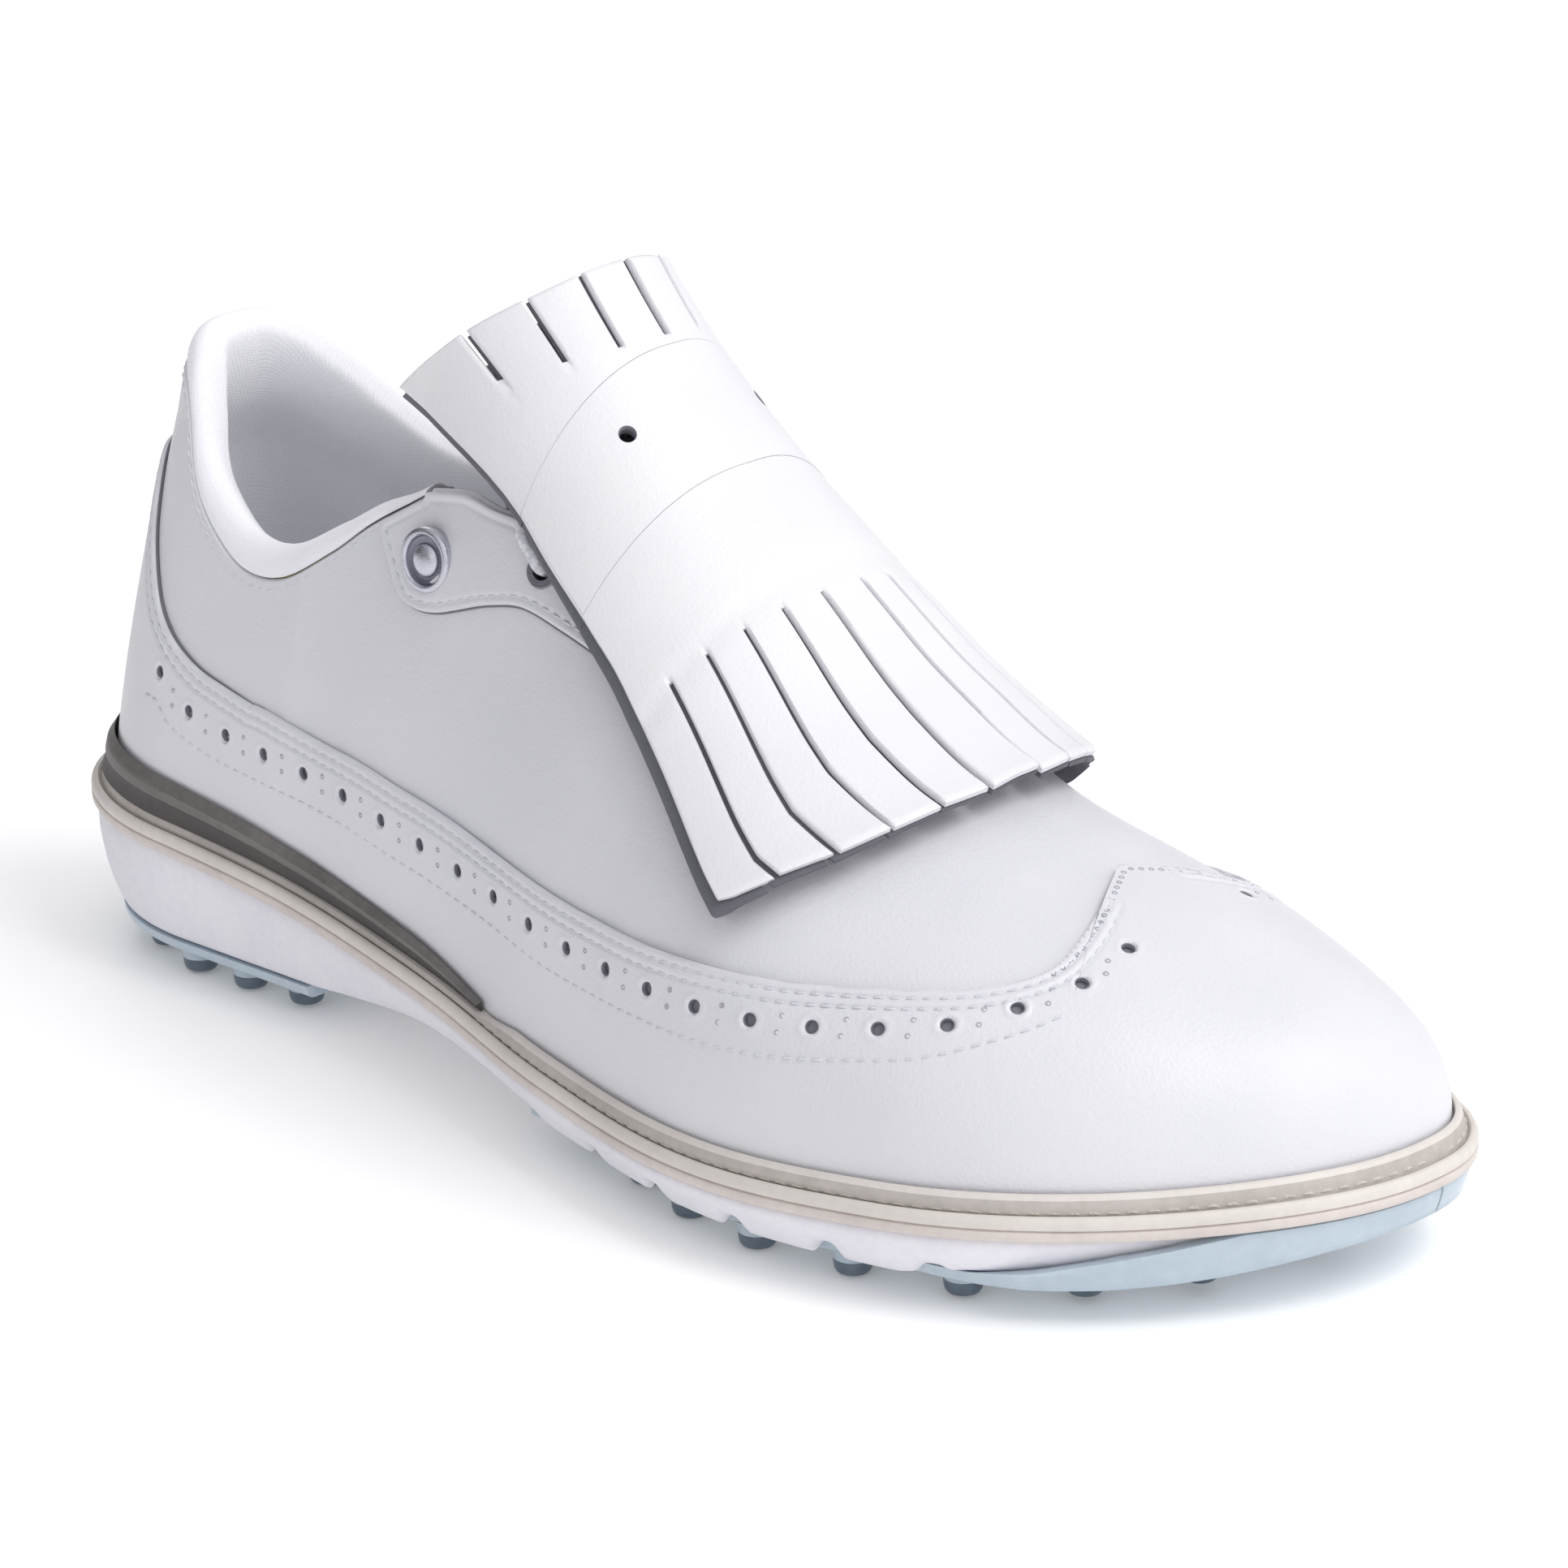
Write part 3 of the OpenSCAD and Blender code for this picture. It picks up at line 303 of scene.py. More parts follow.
def along(path):
    step = np.linalg.norm(np.diff(path, axis=0), axis=1)
    return np.concatenate([[0], np.cumsum(step)])


def resample_on(d, values, places):
    return np.stack([np.interp(places, d, values[:, i]) for i in range(values.shape[1])], -1)


def resample(path, places):
    return resample_on(along(path), path, places)


def smooth_path(points, per=8, closed=False):
    """A Catmull-Rom curve through the points."""
    p = np.asarray(points, float)
    if closed:
        p = np.vstack([p[-1], p, p[0], p[1]])
    else:
        p = np.vstack([2 * p[0] - p[1], p, 2 * p[-1] - p[-2]])
    out = []
    t = np.linspace(0, 1, per, endpoint=False)[:, None]
    for i in range(1, len(p) - 2):
        a, b, c, d = p[i - 1], p[i], p[i + 1], p[i + 2]
        out.append(0.5 * (2 * b + (c - a) * t + (2 * a - 5 * b + 4 * c - d) * t ** 2
                          + (3 * b - a - 3 * c + d) * t ** 3))
    if not closed:
        out.append(p[-2][None])
    return np.vstack(out)


def edge_round(d, r):
    """How far a surface drops within r of its edge, for a quarter-round edge."""
    f = np.clip(1 - d / r, 0, 1)
    return r * (1 - np.sqrt(np.maximum(1 - f ** 2, 0)))


def dent(d, place, width):
    """A smooth ridge of height 1 at a distance, for grooves and puffs along a line."""
    return np.exp(-((d - place) / width) ** 2)


# ---------------------------------------------------------------- meshes
def link(name, data):
    obj = bpy.data.objects.new(name, data)
    bpy.context.scene.collection.objects.link(obj)
    return obj


def angles(sides):
    return np.arange(sides) * 2 * math.pi / sides


def quads(rows, cols, wrap_rows=False, wrap_cols=False, start=0):
    r = rows if wrap_rows else rows - 1
    c = cols if wrap_cols else cols - 1
    i, j = np.meshgrid(np.arange(r), np.arange(c), indexing="ij")
    i2, j2 = (i + 1) % rows, (j + 1) % cols
    return start + np.stack([i * cols + j, i2 * cols + j, i2 * cols + j2, i * cols + j2],
                            -1).reshape(-1, 4)


def build(name, verts, faces, materials, face_mats=None, sharp=38, weld=1e-4):
    """An object from verts in mm and a list of faces, with doubled points welded."""
    mesh = bpy.data.meshes.new(name)
    mesh.from_pydata((np.asarray(verts).reshape(-1, 3) * MM).tolist(), [],
                     [list(map(int, f)) for f in faces])
    for m in materials:
        mesh.materials.append(m)
    if face_mats is not None:
        mesh.polygons.foreach_set("material_index", np.asarray(face_mats, np.int32))
    bm = bmesh.new()
    bm.from_mesh(mesh)
    bmesh.ops.remove_doubles(bm, verts=bm.verts, dist=weld * MM)
    bmesh.ops.dissolve_degenerate(bm, dist=weld * MM, edges=bm.edges)
    loose = [v for v in bm.verts if not v.link_faces]
    bmesh.ops.delete(bm, geom=loose, context="VERTS")
    bmesh.ops.recalc_face_normals(bm, faces=bm.faces)
    bm.to_mesh(mesh)
    bm.free()
    mesh.polygons.foreach_set("use_smooth", [True] * len(mesh.polygons))
    mesh.set_sharp_from_angle(angle=math.radians(sharp))
    return link(name, mesh)


def piece(obj, body, slot, *nodes):
    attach(obj, body)
    if nodes:
        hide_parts(*nodes)


def loft(name, sections, materials, ring=False, band_mats=None, sharp=38):
    """A skin over closed sections, as a ring or capped at both ends."""
    k, m = sections.shape[:2]
    faces = list(quads(k, m, ring, True))
    mats = None if band_mats is None else [band_mats[j] for _ in range(k if ring else k - 1)
                                           for j in range(m)]
    if not ring:
        half = m // 2
        for e in (0, k - 1):
            for j in range(half - 1):
                faces.append([e * m + j, e * m + j + 1, e * m + m - 2 - j, e * m + m - 1 - j])
                if mats is not None:
                    mats.append(band_mats[0])
    return build(name, sections, faces, materials, mats, sharp)


def shell(name, outer, inner, materials, open_crest=None, ends=True, sharp=38):
    """A closed sheet between two grids of points. open_crest says which stations have an edge."""
    k, n = outer.shape[:2]
    back = k * n
    faces = [quads(k, n), quads(k, n, start=back)]
    i = np.arange(k - 1)
    faces.append(np.stack([i * n, (i + 1) * n, back + (i + 1) * n, back + i * n], -1))
    crest = np.stack([i * n + n - 1, (i + 1) * n + n - 1, back + (i + 1) * n + n - 1,
                      back + i * n + n - 1], -1)
    if open_crest is not None:
        crest = crest[open_crest[:-1] | open_crest[1:]]
    faces.append(crest)
    if ends:
        j = np.arange(n - 1)
        for e in (0, (k - 1) * n):
            faces.append(np.stack([e + j, e + j + 1, back + e + j + 1, back + e + j], -1))
    return build(name, np.concatenate([outer.reshape(-1, 3), inner.reshape(-1, 3)]),
                 np.concatenate(faces), materials, sharp=sharp)


def cut(obj, cutters):
    """Cuts closed shapes out of obj, and keeps the result as its mesh."""
    mod = obj.modifiers.new("cut", "BOOLEAN")
    mod.operation = "DIFFERENCE"
    mod.object = cutters
    mod.solver = "EXACT"
    mod.use_hole_tolerant = True
    bpy.context.view_layer.update()
    deps = bpy.context.evaluated_depsgraph_get()
    done = bpy.data.meshes.new_from_object(obj.evaluated_get(deps))
    obj.modifiers.clear()
    done.name = obj.name
    if len(done.polygons) > len(obj.data.polygons) // 2:
        obj.data = done
    obj.data.set_sharp_from_angle(angle=math.radians(38))
    bpy.data.objects.remove(cutters)


def frames_on(normals):
    """Two unit directions square to each normal."""
    a = np.where(np.abs(normals[:, :1]) > 0.9, [[0.0, 1, 0]], [[1.0, 0, 0]])
    e = unit(a - normals * np.sum(a * normals, 1, keepdims=True))
    return e, np.cross(normals, e)


def round_by(angle, e, g):
    """Points of a unit circle in the plane of two directions, for each pair of them."""
    return np.cos(angle)[None, :, None] * e[:, None] + np.sin(angle)[None, :, None] * g[:, None]


def repeated(rows, sides, count):
    """The faces of many tubes of the same size, one after the other."""
    base = quads(rows, sides, False, True)
    return np.concatenate([base + i * rows * sides for i in range(count)])


def lathes(name, centres, normals, profile, materials, sides=16, band_mats=None):
    """The same turned shape at each centre. profile gives [radius, height] rows."""
    c, n = np.asarray(centres, float), np.asarray(normals, float)
    prof = np.asarray(profile, float)
    ring = round_by(angles(sides), *frames_on(n))
    pts = (c[:, None, None] + prof[None, :, None, :1] * ring[:, None]
           + prof[None, :, None, 1:] * n[:, None, None])
    bands = np.zeros(len(prof) - 1, int) if band_mats is None else band_mats
    mats = np.tile(np.repeat(bands, sides), len(c))
    return build(name, pts, repeated(len(prof), sides, len(c)), materials, mats)


def tube(name, line, radius, sides, material):
    """A round cord along a line. radius is a number, or a grid of one value per point and side."""
    t = tangents(line)
    e = np.empty_like(t)
    e[0] = np.cross(t[0], [0, 0, 1.0])
    for i in range(1, len(t)):
        e[i] = unit(e[i - 1] - t[i] * (e[i - 1] @ t[i]))
    r = np.broadcast_to(radius, (len(line), sides))
    pts = line[:, None] + r[..., None] * round_by(angles(sides), e, np.cross(t, e))
    return loft(name, pts, [material], sharp=80)


def stitches(path, normals, material=None, pitch=2.6, length=1.9, radius=0.2):
    """Short rounded stitches along a path that lies on a surface."""
    d = along(path)
    at = np.arange(pitch / 2, d[-1] - pitch / 2, pitch)
    p = resample(path, at)
    n = unit(resample_on(d, normals, at))
    t = resample(path, np.minimum(at + 0.3, d[-1])) - resample(path, np.maximum(at - 0.3, 0))
    t = unit(t - n * np.sum(t * n, 1, keepdims=True))
    b = np.cross(n, t)
    rings = [(-1, 0.05, -0.6), (-0.86, 0.7, -0.2), (-0.5, 1, 0.15), (0, 1.05, 0.3), (0.5, 1, 0.15),
             (0.86, 0.7, -0.2), (1, 0.05, -0.6)]
    sides = 8
    pts = np.empty((len(p), len(rings), sides, 3))
    for i, (f, r, h) in enumerate(rings):
        centre = p + t * f * length / 2 + n * (h * radius)
        pts[:, i] = centre[:, None] + round_by(angles(sides), b, n) * radius * r
    faces = repeated(len(rings), sides, len(p))
    return build("row", pts, faces, [material or THREAD], sharp=80)


def join(name, parts):
    """One object from several."""
    bm = bmesh.new()
    for o in parts:
        bm.from_mesh(o.data)
    mesh = bpy.data.meshes.new(name)
    bm.to_mesh(mesh)
    bm.free()
    for m in parts[0].data.materials:
        mesh.materials.append(m)
    for o in parts:
        bpy.data.objects.remove(o)
    mesh.set_sharp_from_angle(angle=math.radians(60))
    return link(name, mesh)


# ---------------------------------------------------------------- materials
def nodes_of(name):
    m = bpy.data.materials.new(name)
    m.use_nodes = True
    t = m.node_tree
    return m, t, t.nodes["Principled BSDF"]


def add(tree, kind, **values):
    n = tree.nodes.new(kind)
    for k, v in values.items():
        if k in n.inputs:
            n.inputs[k].default_value = v
        else:
            setattr(n, k, v)
    return n


def calc(tree, operation, a, b):
    """A Math node on a socket and a socket or a number."""
    n = add(tree, "ShaderNodeMath", operation=operation)
    tree.links.new(a, n.inputs[0])
    if isinstance(b, float):
        n.inputs[1].default_value = b
    else:
        tree.links.new(b, n.inputs[1])
    return n.outputs[0]


def settings(shader, **values):
    for name, value in values.items():
        shader.inputs[name.replace("_", " ")].default_value = value


def coords(tree, stretch=None):
    c = tree.nodes.new("ShaderNodeTexCoord")
    if stretch is None:
        return c.outputs["Object"]
    m = tree.nodes.new("ShaderNodeMapping")
    m.inputs["Scale"].default_value = stretch
    tree.links.new(c.outputs["Object"], m.inputs["Vector"])
    return m.outputs["Vector"]


def noise(tree, vector, scale, detail=3.0, rough=0.55):
    n = add(tree, "ShaderNodeTexNoise", Scale=scale, Detail=detail, Roughness=rough)
    tree.links.new(vector, n.inputs["Vector"])
    return n.outputs["Fac"]


def cells(tree, vector, scale):
    n = add(tree, "ShaderNodeTexVoronoi", Scale=scale)
    tree.links.new(vector, n.inputs["Vector"])
    return n.outputs["Distance"]


def ramp(tree, fac, stops):
    r = tree.nodes.new("ShaderNodeValToRGB")
    while len(r.color_ramp.elements) < len(stops):
        r.color_ramp.elements.new(0.5)
    for e, (p, c) in zip(r.color_ramp.elements, stops):
        e.position = p
        e.color = (*c, 1)
    tree.links.new(fac, r.inputs["Fac"])
    return r.outputs["Color"]


def spans(tree, value, a, b, c, d):
    m = tree.nodes.new("ShaderNodeMapRange")
    for k, v in zip(("From Min", "From Max", "To Min", "To Max"), (a, b, c, d)):
        m.inputs[k].default_value = v
    tree.links.new(value, m.inputs["Value"])
    return m.outputs["Result"]


def bump(tree, height, distance, strength=1.0, normal=None):
    b = add(tree, "ShaderNodeBump", Strength=strength, Distance=distance)
    tree.links.new(height, b.inputs["Height"])
    if normal is not None:
        tree.links.new(normal, b.inputs["Normal"])
    return b.outputs["Normal"]


def leather(name, light, dark, rough=0.42, grain=0.00009):
    """Smooth full-grain leather: fine pores, soft creases and a slow change of tone."""
    m, t, p = nodes_of(name)
    v = coords(t)
    tone = noise(t, v, 22, 3)
    t.links.new(ramp(t, tone, [(0.3, dark), (0.7, light)]), p.inputs["Base Color"])
    pores = cells(t, v, 1500)
    creases = noise(t, v, 240, 4, 0.6)
    n1 = bump(t, creases, grain * 1.6, 0.5)
    n2 = bump(t, pores, grain, 0.45, n1)
    t.links.new(n2, p.inputs["Normal"])
    t.links.new(spans(t, noise(t, v, 90, 2), 0.3, 0.7, rough - 0.05, rough + 0.08),
                p.inputs["Roughness"])
    settings(p, Specular_IOR_Level=0.45, Subsurface_Weight=0.06,
             Subsurface_Radius=(0.004, 0.003, 0.003), Subsurface_Scale=0.3, Coat_Weight=0.08,
             Coat_Roughness=0.35)
    return m


def textile(name, light, dark, pitch, depth, rough=0.85):
    """A knitted or woven cloth: two crossing ribs with fibres over them."""
    m, t, p = nodes_of(name)
    v = coords(t)
    rib = []
    for turn_z, direction in ((0.55, "X"), (-0.55, "X"), (0.1, "Z")):
        rot = t.nodes.new("ShaderNodeMapping")
        rot.inputs["Rotation"].default_value = (0.3, 0.2, turn_z)
        t.links.new(v, rot.inputs["Vector"])
        w = add(t, "ShaderNodeTexWave", Scale=0.5 / pitch, Distortion=0.6, Detail=1.0)
        w.bands_direction = direction
        w.inputs["Detail Scale"].default_value = 2.0
        t.links.new(rot.outputs["Vector"], w.inputs["Vector"])
        rib.append(w.outputs["Fac"])
    weave = calc(t, "ADD", calc(t, "MULTIPLY", rib[0], rib[1]),
                 calc(t, "MULTIPLY", rib[2], 0.4))
    t.links.new(ramp(t, weave, [(0.1, dark), (0.75, light)]), p.inputs["Base Color"])
    fibres = noise(t, v, 3200, 2)
    t.links.new(bump(t, weave, depth, 0.8, bump(t, fibres, 0.00004, 0.6)),
                p.inputs["Normal"])
    t.links.new(spans(t, fibres, 0.3, 0.7, rough - 0.06, rough + 0.06), p.inputs["Roughness"])
    settings(p, Sheen_Weight=0.35, Sheen_Roughness=0.5)
    return m


def moulded(name, light, dark, rough, speck, grain, scale, sss=0.0, coat=0.0):
    """Moulded rubber, foam or plastic with a fine surface and a slight mottle."""
    m, t, p = nodes_of(name)
    v = coords(t)
    tone = noise(t, v, scale, 4, 0.65)
    fine = noise(t, v, speck, 2)
    mottle = calc(t, "ADD", tone, calc(t, "MULTIPLY", fine, 0.5))
    t.links.new(ramp(t, mottle, [(0.55, dark), (0.95, light)]), p.inputs["Base Color"])
    t.links.new(bump(t, fine, grain, 0.6), p.inputs["Normal"])
    t.links.new(spans(t, tone, 0.3, 0.7, rough - 0.06, rough + 0.06), p.inputs["Roughness"])
    settings(p, Subsurface_Weight=sss, Subsurface_Radius=(0.003, 0.004, 0.005),
             Subsurface_Scale=0.6, Coat_Weight=coat)
    return m


def metal(name, light, dark, rough=0.35):
    """Brushed metal with fine scratches."""
    m, t, p = nodes_of(name)
    v = coords(t, (1, 14, 14))
    lines = noise(t, v, 500, 3)
    t.links.new(ramp(t, lines, [(0.35, dark), (0.65, light)]), p.inputs["Base Color"])
    t.links.new(spans(t, lines, 0.3, 0.7, rough - 0.08, rough + 0.1), p.inputs["Roughness"])
    t.links.new(bump(t, lines, 0.00003, 0.4), p.inputs["Normal"])
    settings(p, Metallic=0.9)
    return m


def braid(name, light, dark):
    """A braided cord: crossing strands along its length."""
    m, t, p = nodes_of(name)
    v = coords(t)
    strands = cells(t, v, 1100)
    t.links.new(ramp(t, strands, [(0.1, light), (0.7, dark)]), p.inputs["Base Color"])
    t.links.new(bump(t, strands, 0.00025, 0.7), p.inputs["Normal"])
    t.links.new(spans(t, strands, 0, 1, 0.75, 0.92), p.inputs["Roughness"])
    settings(p, Sheen_Weight=0.3)
    return m


WHITE = leather("white_leather", (0.69, 0.69, 0.72), (0.65, 0.65, 0.69))
WHITE_KILTIE = leather("white_leather_kiltie", (0.74, 0.74, 0.76), (0.70, 0.70, 0.73), 0.45)
# dark leather for the painted shade in the bores and on the floors of punched holes
HOLE_SHADE = leather("punched_hole_painted_shade", (0.26, 0.26, 0.30), (0.18, 0.18, 0.21), 0.7)
# grey leather for the painted shade of small pricks
PRICK_SHADE = leather("pinprick_painted_shade", (0.40, 0.40, 0.44), (0.30, 0.30, 0.34), 0.7)
# near-black leather for thin tubes of painted shadow under the overlay edges
EDGE_SHADOW = leather("painted_shadow_under_edge", (0.16, 0.16, 0.18), (0.11, 0.11, 0.13), 0.6)
# grey suede backing, kept near-black so that it is partly its own colour and partly painted shade
# under the kiltie
SUEDE_AND_SHADE = leather("grey_suede_and_painted_shade", (0.17, 0.17, 0.19), (0.11, 0.11, 0.13), 0.85, 0.00016)
THREAD = textile("white_thread", (0.72, 0.72, 0.76), (0.58, 0.58, 0.64), 0.0006, 0.00008)
LINING = textile("white_lining", (0.90, 0.90, 0.93), (0.83, 0.83, 0.88), 0.0007, 0.00005)
INNER_LINING = textile("inner_lining", (0.88, 0.89, 0.94), (0.80, 0.81, 0.89), 0.0008, 0.00006)
TONGUE_GREY = textile("grey_tongue_weave", (0.20, 0.20, 0.22), (0.11, 0.11, 0.125), 0.0016,
                      0.00025)
SOCK = textile("grey_sock_cloth", (0.86, 0.87, 0.92), (0.78, 0.79, 0.86), 0.0009, 0.00006)
FOAM = moulded("lavender_foam", (0.80, 0.79, 0.83), (0.73, 0.72, 0.77), 0.6, 620, 0.00010, 70,
               0.05)
RUBBER = moulded("blue_rubber", (0.50, 0.58, 0.64), (0.42, 0.50, 0.57), 0.32, 400, 0.00004, 30,
                 0.35, 0.2)
# darker rubber as painted shade on the lower, ground-facing part of each lug
LUG_SHADE = moulded("lug_tip_painted_shade", (0.13, 0.17, 0.21), (0.07, 0.10, 0.13), 0.38, 500, 0.00005, 40,
                  0.05, 0.2)
CREAM = moulded("cream_welt", (0.68, 0.64, 0.60), (0.61, 0.57, 0.53), 0.5, 500, 0.00006, 60)
BEIGE = moulded("beige_welt", (0.66, 0.60, 0.56), (0.57, 0.51, 0.48), 0.5, 500, 0.00006, 60)
GROOVE = moulded("olive_groove", (0.50, 0.46, 0.43), (0.40, 0.37, 0.34), 0.75, 500, 0.00008, 60)
# the heel rand's dark tones: partly the strip's own colour, partly painted shade of the recess
# between the upper and the midsole
RAND_AND_DEEP_SHADE = moulded("rand_brown_and_deep_shade", (0.075, 0.066, 0.064), (0.05, 0.045, 0.045), 0.6, 600,
                    0.00008, 60)
RAND_AND_SHADE = moulded("rand_grey_brown_and_shade", (0.17, 0.155, 0.15), (0.115, 0.105, 0.10), 0.55, 600,
                     0.00008, 60)
WELT_THREAD = textile("olive_thread", (0.62, 0.58, 0.52), (0.46, 0.42, 0.37), 0.0006, 0.00008)
BUTTON = metal("satin_button", (0.62, 0.62, 0.68), (0.48, 0.48, 0.54), 0.3)
BUTTON_DARK = metal("satin_button_dark", (0.26, 0.26, 0.31), (0.19, 0.19, 0.24), 0.4)
CORD = braid("white_cord", (0.80, 0.80, 0.84), (0.55, 0.55, 0.60))
EYELET = metal("grey_eyelet", (0.30, 0.30, 0.33), (0.2, 0.2, 0.23), 0.4)
STEEL = metal("shank_steel", (0.55, 0.55, 0.57), (0.42, 0.42, 0.44), 0.3)
FIBRE = moulded("fibre_board", (0.50, 0.38, 0.24), (0.36, 0.26, 0.16), 0.9, 900, 0.00012, 120)
STIFF = moulded("stiffener", (0.62, 0.55, 0.42), (0.50, 0.44, 0.33), 0.8, 500, 0.00008, 60)
PAD = moulded("open_foam", (0.70, 0.62, 0.36), (0.54, 0.46, 0.24), 0.95, 1400, 0.00025, 90)
FLOOR = moulded("studio_floor", (0.95, 0.95, 0.95), (0.93, 0.93, 0.94), 0.7, 300, 0.00002, 3)
settings(FLOOR.node_tree.nodes["Principled BSDF"], Emission_Color=(1, 1, 1, 1),
         Emission_Strength=0.15)


# ---------------------------------------------------------------- camera and light
def make_camera():
    target = Vector((0.03855, -0.01999, 0.06778))
    azimuth, elevation, distance = math.radians(41.7), math.radians(19.27), 0.850
    back = Vector((math.sin(azimuth) * math.cos(elevation),
                   -math.cos(azimuth) * math.cos(elevation), math.sin(elevation)))
    cam = bpy.data.cameras.new("camera")
    cam.lens = 124.45
    cam.sensor_width = 36
    obj = link("camera", cam)
    turn_to = (-back).to_track_quat("-Z", "Y").to_matrix().to_4x4()
    roll = Matrix.Rotation(math.radians(-0.58), 4, "Z")
    obj.matrix_world = Matrix.Translation(target + back * distance) @ turn_to @ roll
    bpy.context.scene.camera = obj


def lamp(name, place, aim, size, power, colour=(1, 1, 1)):
    light = bpy.data.lights.new(name, "AREA")
    light.shape = "DISK"
    light.size = size
    light.energy = power
    light.color = colour
    obj = link(name, light)
    obj.location = place
    obj.rotation_euler = (Vector(aim) - Vector(place)).to_track_quat("-Z", "Y").to_euler()


def make_studio():
    floor = bpy.data.meshes.new("floor")
    bm = bmesh.new()
    bmesh.ops.create_grid(bm, x_segments=2, y_segments=2, size=6)
    bm.to_mesh(floor)
    bm.free()
    floor.materials.append(FLOOR)
    obj = link("floor", floor)
    obj.location = (0, 0, -0.0002)
    world = bpy.data.worlds.new("studio")
    world.use_nodes = True
    sky = world.node_tree
    sky.nodes["Background"].inputs["Color"].default_value = (0.97, 0.97, 1.0, 1)
    # the room is brighter in front of the toe than behind the heel
    where = sky.nodes.new("ShaderNodeTexCoord")
    facing = add(sky, "ShaderNodeVectorMath", operation="DOT_PRODUCT")
    facing.inputs[1].default_value = (0.85, 0.15, 0.5)
    sky.links.new(where.outputs["Generated"], facing.inputs[0])
    sky.links.new(spans(sky, facing.outputs["Value"], -0.7, 0.8, 0.04, 1.10),
                  sky.nodes["Background"].inputs["Strength"])
    bpy.context.scene.world = world
    lamp("key", (1.0, 0.2, 1.4), (0, 0, 0.05), 1.0, 12.0, (1, 0.99, 0.97))
    lamp("fill", (0.3, -1.6, 0.7), (0, 0, 0.05), 1.2, 1.5, (0.98, 0.98, 1))
    lamp("back", (-1.1, 0.7, 1.0), (0, 0, 0.06), 0.8, 2.6, (1, 1, 1))


make_camera()
make_studio()
bpy.context.scene.view_settings.view_transform = "Standard"


# ---------------------------------------------------------------- upper leather
def mirrored(u, first_side):
    """Stations along one side of the shoe and back along the other."""
    back = u[-2::-1]
    return (np.concatenate([np.full(len(u), first_side), np.full(len(back), -first_side)]),
            np.concatenate([u, back]))


def stations(x0, x1, m):
    return np.linspace(float(share(x0)), float(share(x1)), m)


def rows_between(lo, hi, n):
    return s_between(lo[:, None], hi[:, None], np.linspace(0, 1, n)[None])


def ripple(p):
    return 0.10 * waves(p, 34, 5)


def make_vamp():
    side, u = mirrored(stations(VAMP_SEAM, TOE_X, 230), -1.0)
    s = rows_between(np.zeros(len(u)), np.ones(len(u)), 90)
    p, n = skin_parts(side[:, None], u[:, None], s)
    out = p + n * (LEATHER_OUT + ripple(p))[..., None]
    obj = shell("vamp_leather", out, p + n * LEATHER_IN, [WHITE], np.zeros(len(u), bool))
    piece(obj, "shoe", "white_leather", "vamp")


def make_quarters():
    for side, name in ((-1, "lateral"), (1, "medial")):
        u = stations(HEEL_X, VAMP_SEAM, 330)
        s = rows_between(np.zeros(len(u)), top_s(side, x_of(u)), 110)
        p, n = skin_parts(side, u[:, None], s)
        d = np.linalg.norm(p - p[:, -1:], axis=-1)
        out = p + n * (LEATHER_OUT + ripple(p) - edge_round(d, 0.5))[..., None]
        obj = shell("quarter_leather_" + name, out, p + n * LEATHER_IN, [WHITE])
        cut(obj, eyelet_cutters(side))
        piece(obj, "shoe", "white_leather", "quarter_" + name)


ROWS = [168, 155, 142, 128.5]


def eye_s(x):
    """The line of the eyelets, a little below the throat."""
    return curve(THROAT_S, x) - 0.045


def eyelet_cutters(side):
    x = np.array(ROWS, float)
    p, n = skin_parts(side, share(x), eye_s(x))
    prof = [[0, 0], [EYELET_HOLE_R, 0], [EYELET_HOLE_R, 7], [0, 7]]
    return lathes("cutter", p, n, prof, [HOLE_SHADE], 20)


def wing_edge():
    """The upper edge of the wing: its stations, and on each side its points, their normals and
    the directions inward."""
    u = stations(HEEL_X, PEAK_X, EDGE_STATIONS)
    lines = []
    for side in (-1, 1):
        s = wing_top(side, x_of(u))
        p, n = skin_parts(side, u, s)
        e = p + n * OVERLAY_OUT
        lines.append((e, n, inward(e, n, skin(side, u, np.maximum(s - 0.01, 0), OVERLAY_OUT))))
    return x_of(u), lines


def punch_places():
    """Stations of the large holes, evenly spaced along the lateral side."""
    x = np.arange(PUNCH_START, PUNCH_END, 0.1)
    d = along(skin(-1, share(x), curve(PUNCH_S, x), OVERLAY_OUT))
    return np.interp(np.arange(0, d[-1], HOLE_PITCH), d, x)


def punch_line(side, x, step):
    """The line that the large holes lie on, and the direction across it along the wing."""
    s = curve(PUNCH_S, x)
    line = skin(side, share(x), s, OVERLAY_OUT)
    return line, unit(skin(side, share(x), np.maximum(s + step, 0), OVERLAY_OUT) - line)


def on_wing(points, grid, normals):
    """Points moved along the normal onto the wing's own surface."""
    flat_p, flat_n = grid.reshape(-1, 3), normals.reshape(-1, 3)
    i, _ = nearest(points, flat_p)
    v, n = flat_p[i], flat_n[i]
    return points - n * np.sum((points - v) * n, -1, keepdims=True), n


